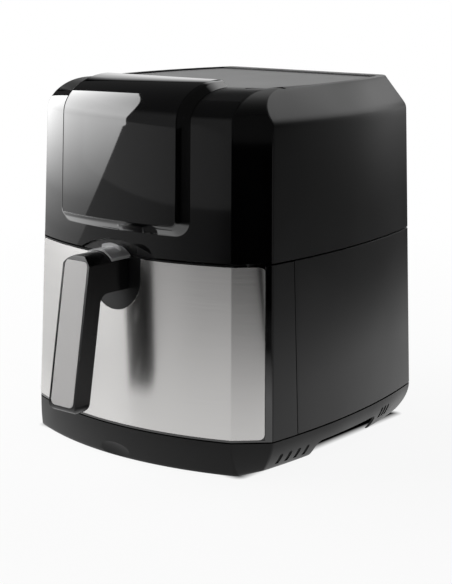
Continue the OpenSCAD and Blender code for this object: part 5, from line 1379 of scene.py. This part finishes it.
def top_box():
    """A box high behind the right side, which fades at its lower edge."""
    place = towards(*TOP_BOX_PLACE)
    box = soft_box("top_box", place, CENTRE, TOP_BOX_SIZE, TOP_BOX_SIZE, TOP_BOX_RADIANCE)
    up = box.rotation_quaternion @ Vector((0, 1, 0))
    tree, (height,) = lamp_axes(box, up)
    bottom = up.dot(place) - TOP_BOX_SIZE / 2
    lamp_strength(tree, graded(tree, maths(tree, "SUBTRACT", height, bottom), TOP_FADE))


def sheet(name, corners, finish):
    """A flat sheet of the stage."""
    mesh = bpy.data.meshes.new(name)
    mesh.from_pydata([tuple(p) for p in corners], [], [tuple(range(len(corners)))])
    mesh.materials.append(finish)
    obj = placed(name, mesh)
    obj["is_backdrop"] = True


def background_finish(name, glow, mirrored):
    """Paper that glows white: by glow where it is looked at, and by mirrored in a reflection."""
    finish, tree, paper = new_finish(name)
    feed_all(tree, paper, {"Roughness": 0.9, "Specular IOR Level": 0.1})
    path = node(tree, "LightPath").outputs
    looked = maths(tree, "MAXIMUM", path["Is Camera Ray"], path["Is Transmission Ray"])
    reflected = path["Is Glossy Ray"]
    strength = maths(tree, "ADD", looked, product(tree, reflected, mirrored(tree)))
    white = node(tree, "Emission", Strength=strength)
    share = maths(tree, "MAXIMUM", product(tree, looked, glow(tree)), reflected)
    mix = node(tree, "MixShader", Fac=share)
    tree.links.new(paper.outputs["BSDF"], mix.inputs[1])
    tree.links.new(white.outputs["Emission"], mix.inputs[2])
    tree.links.new(mix.outputs["Shader"], tree.nodes["Material Output"].inputs["Surface"])
    return finish, tree, paper


def measured(tree, turn):
    """Nodes for a place on the stage, in axes turned by an angle about the vertical."""
    place = node(tree, "Mapping", Vector=node(tree, "TexCoord").outputs["Object"], Rotation=(0, 0, turn))
    return node(tree, "SeparateXYZ", Vector=place.outputs["Vector"]).outputs


def distance(tree, x, y):
    total = maths(tree, "ADD", maths(tree, "POWER", x, 2.0), maths(tree, "POWER", y, 2.0))
    return maths(tree, "SQRT", total)


def floor_pool(tree):
    """1 in the white strip that runs back from the object."""
    aside, back, _ = measured(tree, -VIEW_TURN)
    ahead = over(tree, POOL_END, back)
    reach = distance(tree, ahead, maths(tree, "SUBTRACT", aside, POOL_SIDE))
    return spread(tree, reach, 1.0, 0.0, POOL_HALF_WIDTH, POOL_HALF_WIDTH + POOL_FADE)


def floor_share(tree):
    """The floor's own glow: a little less near the object, for its shadow."""
    x, y, _ = measured(tree, 0.0)
    return spread(tree, distance(tree, x, y), FLOOR_GLOW, 1.0, *FLOOR_SHARE_REACH)


def painted_shadow_under_base(tree):
    """0 under the object and 1 round it: the mask of the painted shadow under the base."""
    x, y, _ = measured(tree, 0.0)
    off = []
    for value, middle, half in zip((x, y), FOOTPRINT_AT, FOOTPRINT):
        off.append(over(tree, maths(tree, "ABSOLUTE", maths(tree, "SUBTRACT", value, middle)), half))
    return raised(tree, distance(tree, *off), CONTACT_REACH)


def floor_glow(tree):
    # No glow under the object, so the painted shadow there shows.
    return product(tree, painted_shadow_under_base(tree), floor_share(tree))


def floor_mirrored(tree):
    """What reflections see on the floor, by its direction: the pool, a ring of painted light round the
    object, and a dim painted glow far off.
    """
    x, y, _ = measured(tree, math.radians(3 - LEFT_AZIMUTH))
    away = distance(tree, x, y)
    across = maths(tree, "DIVIDE", maths(tree, "MULTIPLY", y, -1.0), away)
    hall = product(tree, graded(tree, across, HALL_FADE), raised(tree, away, HALL_REACH))
    # Painted light: a ring of floor round the object glows in reflections, as if the lamps lit it.
    near = product(tree, graded(tree, across, NEAR_FADE), graded(tree, away, NEAR_RING))
    aside = measured(tree, -VIEW_TURN)[0]
    pool = product(tree, floor_pool(tree), raised(tree, aside, POOL_LEFT_END), floor_share(tree))
    return maths(tree, "MAXIMUM", pool, maths(tree, "ADD", hall, near))


def make_floor():
    """Pale floor that darkens towards the camera, with a white strip that runs back from the object, and
    a painted shadow of black paper under the object.
    """
    finish, tree, paper = background_finish("floor_paper", floor_glow, floor_mirrored)
    back = measured(tree, -VIEW_TURN)[1]
    far = FLOOR_SHADE / FLOOR_SLOPE
    shade = spread(tree, back, 0.0, PAPER_WHITE, -far, PAPER_WHITE / FLOOR_SLOPE - far)
    level = maths(tree, "MAXIMUM", product(tree, floor_pool(tree), PAPER_WHITE), shade)
    # Painted shadow: the paper's colour goes to black under the object.
    level = product(tree, level, painted_shadow_under_base(tree))
    grey = node(tree, "CombineColor", Red=level, Green=level, Blue=level)
    tree.links.new(grey.outputs["Color"], paper.inputs["Base Color"])
    turns = ((-1, -1), (1, -1), (1, 1), (-1, 1))
    sheet("floor", [(x * FLOOR_SIZE, y * FLOOR_SIZE, 0) for x, y in turns], finish)


def backdrop_mirrored(tree):
    """White low down, and fading towards its top and its left end."""
    x, _, z = measured(tree, -VIEW_TURN)
    return product(tree, graded(tree, z, BACKDROP_FADE), raised(tree, x, BACKDROP_LEFT_END))


def make_backdrop():
    """White sheet far behind the object."""
    finish, _, paper = background_finish("backdrop_paper", lambda tree: 1.0, backdrop_mirrored)
    paper.inputs["Base Color"].default_value = (0.9, 0.9, 0.9, 1)
    side = Vector((math.cos(VIEW_TURN), math.sin(VIEW_TURN), 0)) * BACKDROP_HALF_WIDTH
    centre = Vector((-math.sin(VIEW_TURN), math.cos(VIEW_TURN), 0)) * BACKDROP_AWAY
    low = [centre - side, centre + side]
    sheet("backdrop", low + [p + Vector((0, 0, BACKDROP_HEIGHT)) for p in reversed(low)], finish)


def make_world():
    """A dim even light, which is white where it is looked at."""
    world = bpy.data.worlds.new("studio")
    world.use_nodes = True
    tree = world.node_tree
    looked = node(tree, "LightPath").outputs["Is Camera Ray"]
    strength = maths(tree, "MAXIMUM", looked, WORLD_LEVEL)
    feed_all(tree, tree.nodes["Background"], {"Color": (1, 1, 1, 1), "Strength": strength})
    bpy.context.scene.world = world


def make_camera():
    lens = bpy.data.cameras.new("camera")
    lens.lens, lens.sensor_width, lens.sensor_fit = LENS, 36.0, "AUTO"
    lens.clip_start, lens.clip_end = 0.05, 50
    camera = placed("camera", lens)
    aim(camera, Vector(EYE), Vector(AIM))
    bpy.context.scene.camera = camera


def make_lamps():
    """The tall panel, a dim one in front, and two boxes behind on the right."""
    left_panel()
    place = towards(*FRONT_PANEL_PLACE)
    place.z = FRONT_PANEL_Z
    target = Vector((*CENTRE.xy, FRONT_PANEL_Z))
    panel = soft_box("front_panel", place, target, *FRONT_PANEL_SIZE, FRONT_PANEL_RADIANCE)
    tree, (height,) = lamp_axes(panel, (0, 0, 1))
    bottom = FRONT_PANEL_Z - FRONT_PANEL_SIZE[1] / 2
    lamp_strength(tree, graded(tree, maths(tree, "SUBTRACT", height, bottom), FRONT_FADE))
    top_box()
    soft_box("rear_right_box", towards(*REAR_BOX_PLACE), CENTRE, *REAR_BOX_SIZE, REAR_BOX_RADIANCE)


# ---- Operators ----


class FRYER_OT_stage(bpy.types.Operator):
    """Make the camera, the pale floor, the backdrop and the soft lamps"""

    bl_idname = "fryer.stage"
    bl_label = "Stage"

    def execute(self, context):
        make_camera()
        make_world()
        make_floor()
        make_backdrop()
        make_lamps()
        bpy.context.scene.view_settings.view_transform = "Standard"
        return {"FINISHED"}


class FRYER_OT_housing(bpy.types.Operator):
    """Make the upper housing and the grey plate in its top"""

    bl_idname = "fryer.housing"
    bl_label = "Housing"

    def execute(self, context):
        make_housing()
        make_top_plate()
        return {"FINISHED"}


class FRYER_OT_console(bpy.types.Operator):
    """Make the raised console and its display window"""

    bl_idname = "fryer.console"
    bl_label = "Console"

    def execute(self, context):
        make_console()
        make_glass()
        return {"FINISHED"}


class FRYER_OT_lower_body(bpy.types.Operator):
    """Make the lower shell and the base"""

    bl_idname = "fryer.lower_body"
    bl_label = "Lower body and base"

    def execute(self, context):
        make_lower_body()
        make_base()
        return {"FINISHED"}


class FRYER_OT_drawer_front(bpy.types.Operator):
    """Make the drawer front, its steel skin and the recess round the handle"""

    bl_idname = "fryer.drawer_front"
    bl_label = "Drawer front"

    def execute(self, context):
        make_drawer_front()
        make_steel_skin()
        make_socket()
        return {"FINISHED"}


class FRYER_OT_handle(bpy.types.Operator):
    """Make the handle with its silver strip, clear slider and press button"""

    bl_idname = "fryer.handle"
    bl_label = "Handle"

    def execute(self, context):
        make_handle_shell()
        make_inlay()
        make_cover()
        make_button()
        return {"FINISHED"}


class FRYER_OT_pan(bpy.types.Operator):
    """Make the pan and the perforated basket"""

    bl_idname = "fryer.pan"
    bl_label = "Pan and basket"

    def execute(self, context):
        make_pan()
        make_basket()
        return {"FINISHED"}


class FRYER_OT_inside(bpy.types.Operator):
    """Give every piece that keeps the frame's shape its finish and soft edges"""

    bl_idname = "fryer.inside"
    bl_label = "Pieces inside"

    def execute(self, context):
        shading = soft_shading()
        for finish, nodes in inner_finishes():
            for name, bevel in nodes.items():
                dress(name, finish, bevel, shading)
        return {"FINISHED"}


class FRYER_PT_panel(bpy.types.Panel):
    """Lists the settings and the steps that build the air fryer"""

    bl_idname = "FRYER_PT_panel"
    bl_label = "Air fryer"
    bl_space_type = "VIEW_3D"
    bl_region_type = "UI"
    bl_category = "Air fryer"

    def draw(self, context):
        layout = self.layout
        for settings in (sizes(), colours(), gloss()):
            box = layout.box()
            for name in settings.__annotations__:
                box.prop(settings, name)
        for step in STEPS:
            layout.operator(step.bl_idname)


STEPS = (
    FRYER_OT_stage, FRYER_OT_housing, FRYER_OT_console, FRYER_OT_lower_body,
    FRYER_OT_drawer_front, FRYER_OT_handle, FRYER_OT_pan, FRYER_OT_inside,
)
CLASSES = (FryerSizes, FryerColours, FryerGloss, *STEPS, FRYER_PT_panel)


def register():
    for item in CLASSES:
        bpy.utils.register_class(item)
    bpy.types.Scene.fryer_sizes = bpy.props.PointerProperty(type=FryerSizes)
    bpy.types.Scene.fryer_colours = bpy.props.PointerProperty(type=FryerColours)
    bpy.types.Scene.fryer_gloss = bpy.props.PointerProperty(type=FryerGloss)


def unregister():
    del bpy.types.Scene.fryer_sizes, bpy.types.Scene.fryer_colours, bpy.types.Scene.fryer_gloss
    for item in reversed(CLASSES):
        bpy.utils.unregister_class(item)


def corners(box):
    return [list(p) for p in box]


def main():
    cad_box = corners(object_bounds())
    register()
    for step in STEPS:
        group, name = step.bl_idname.split(".")
        result = getattr(getattr(bpy.ops, group), name)()
        if result != {"FINISHED"}:
            raise RuntimeError(f"{step.bl_label} wasn't finished")
    {"cad": cad_box, "visual": corners(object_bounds())}


if __name__ == "__main__":
    main()
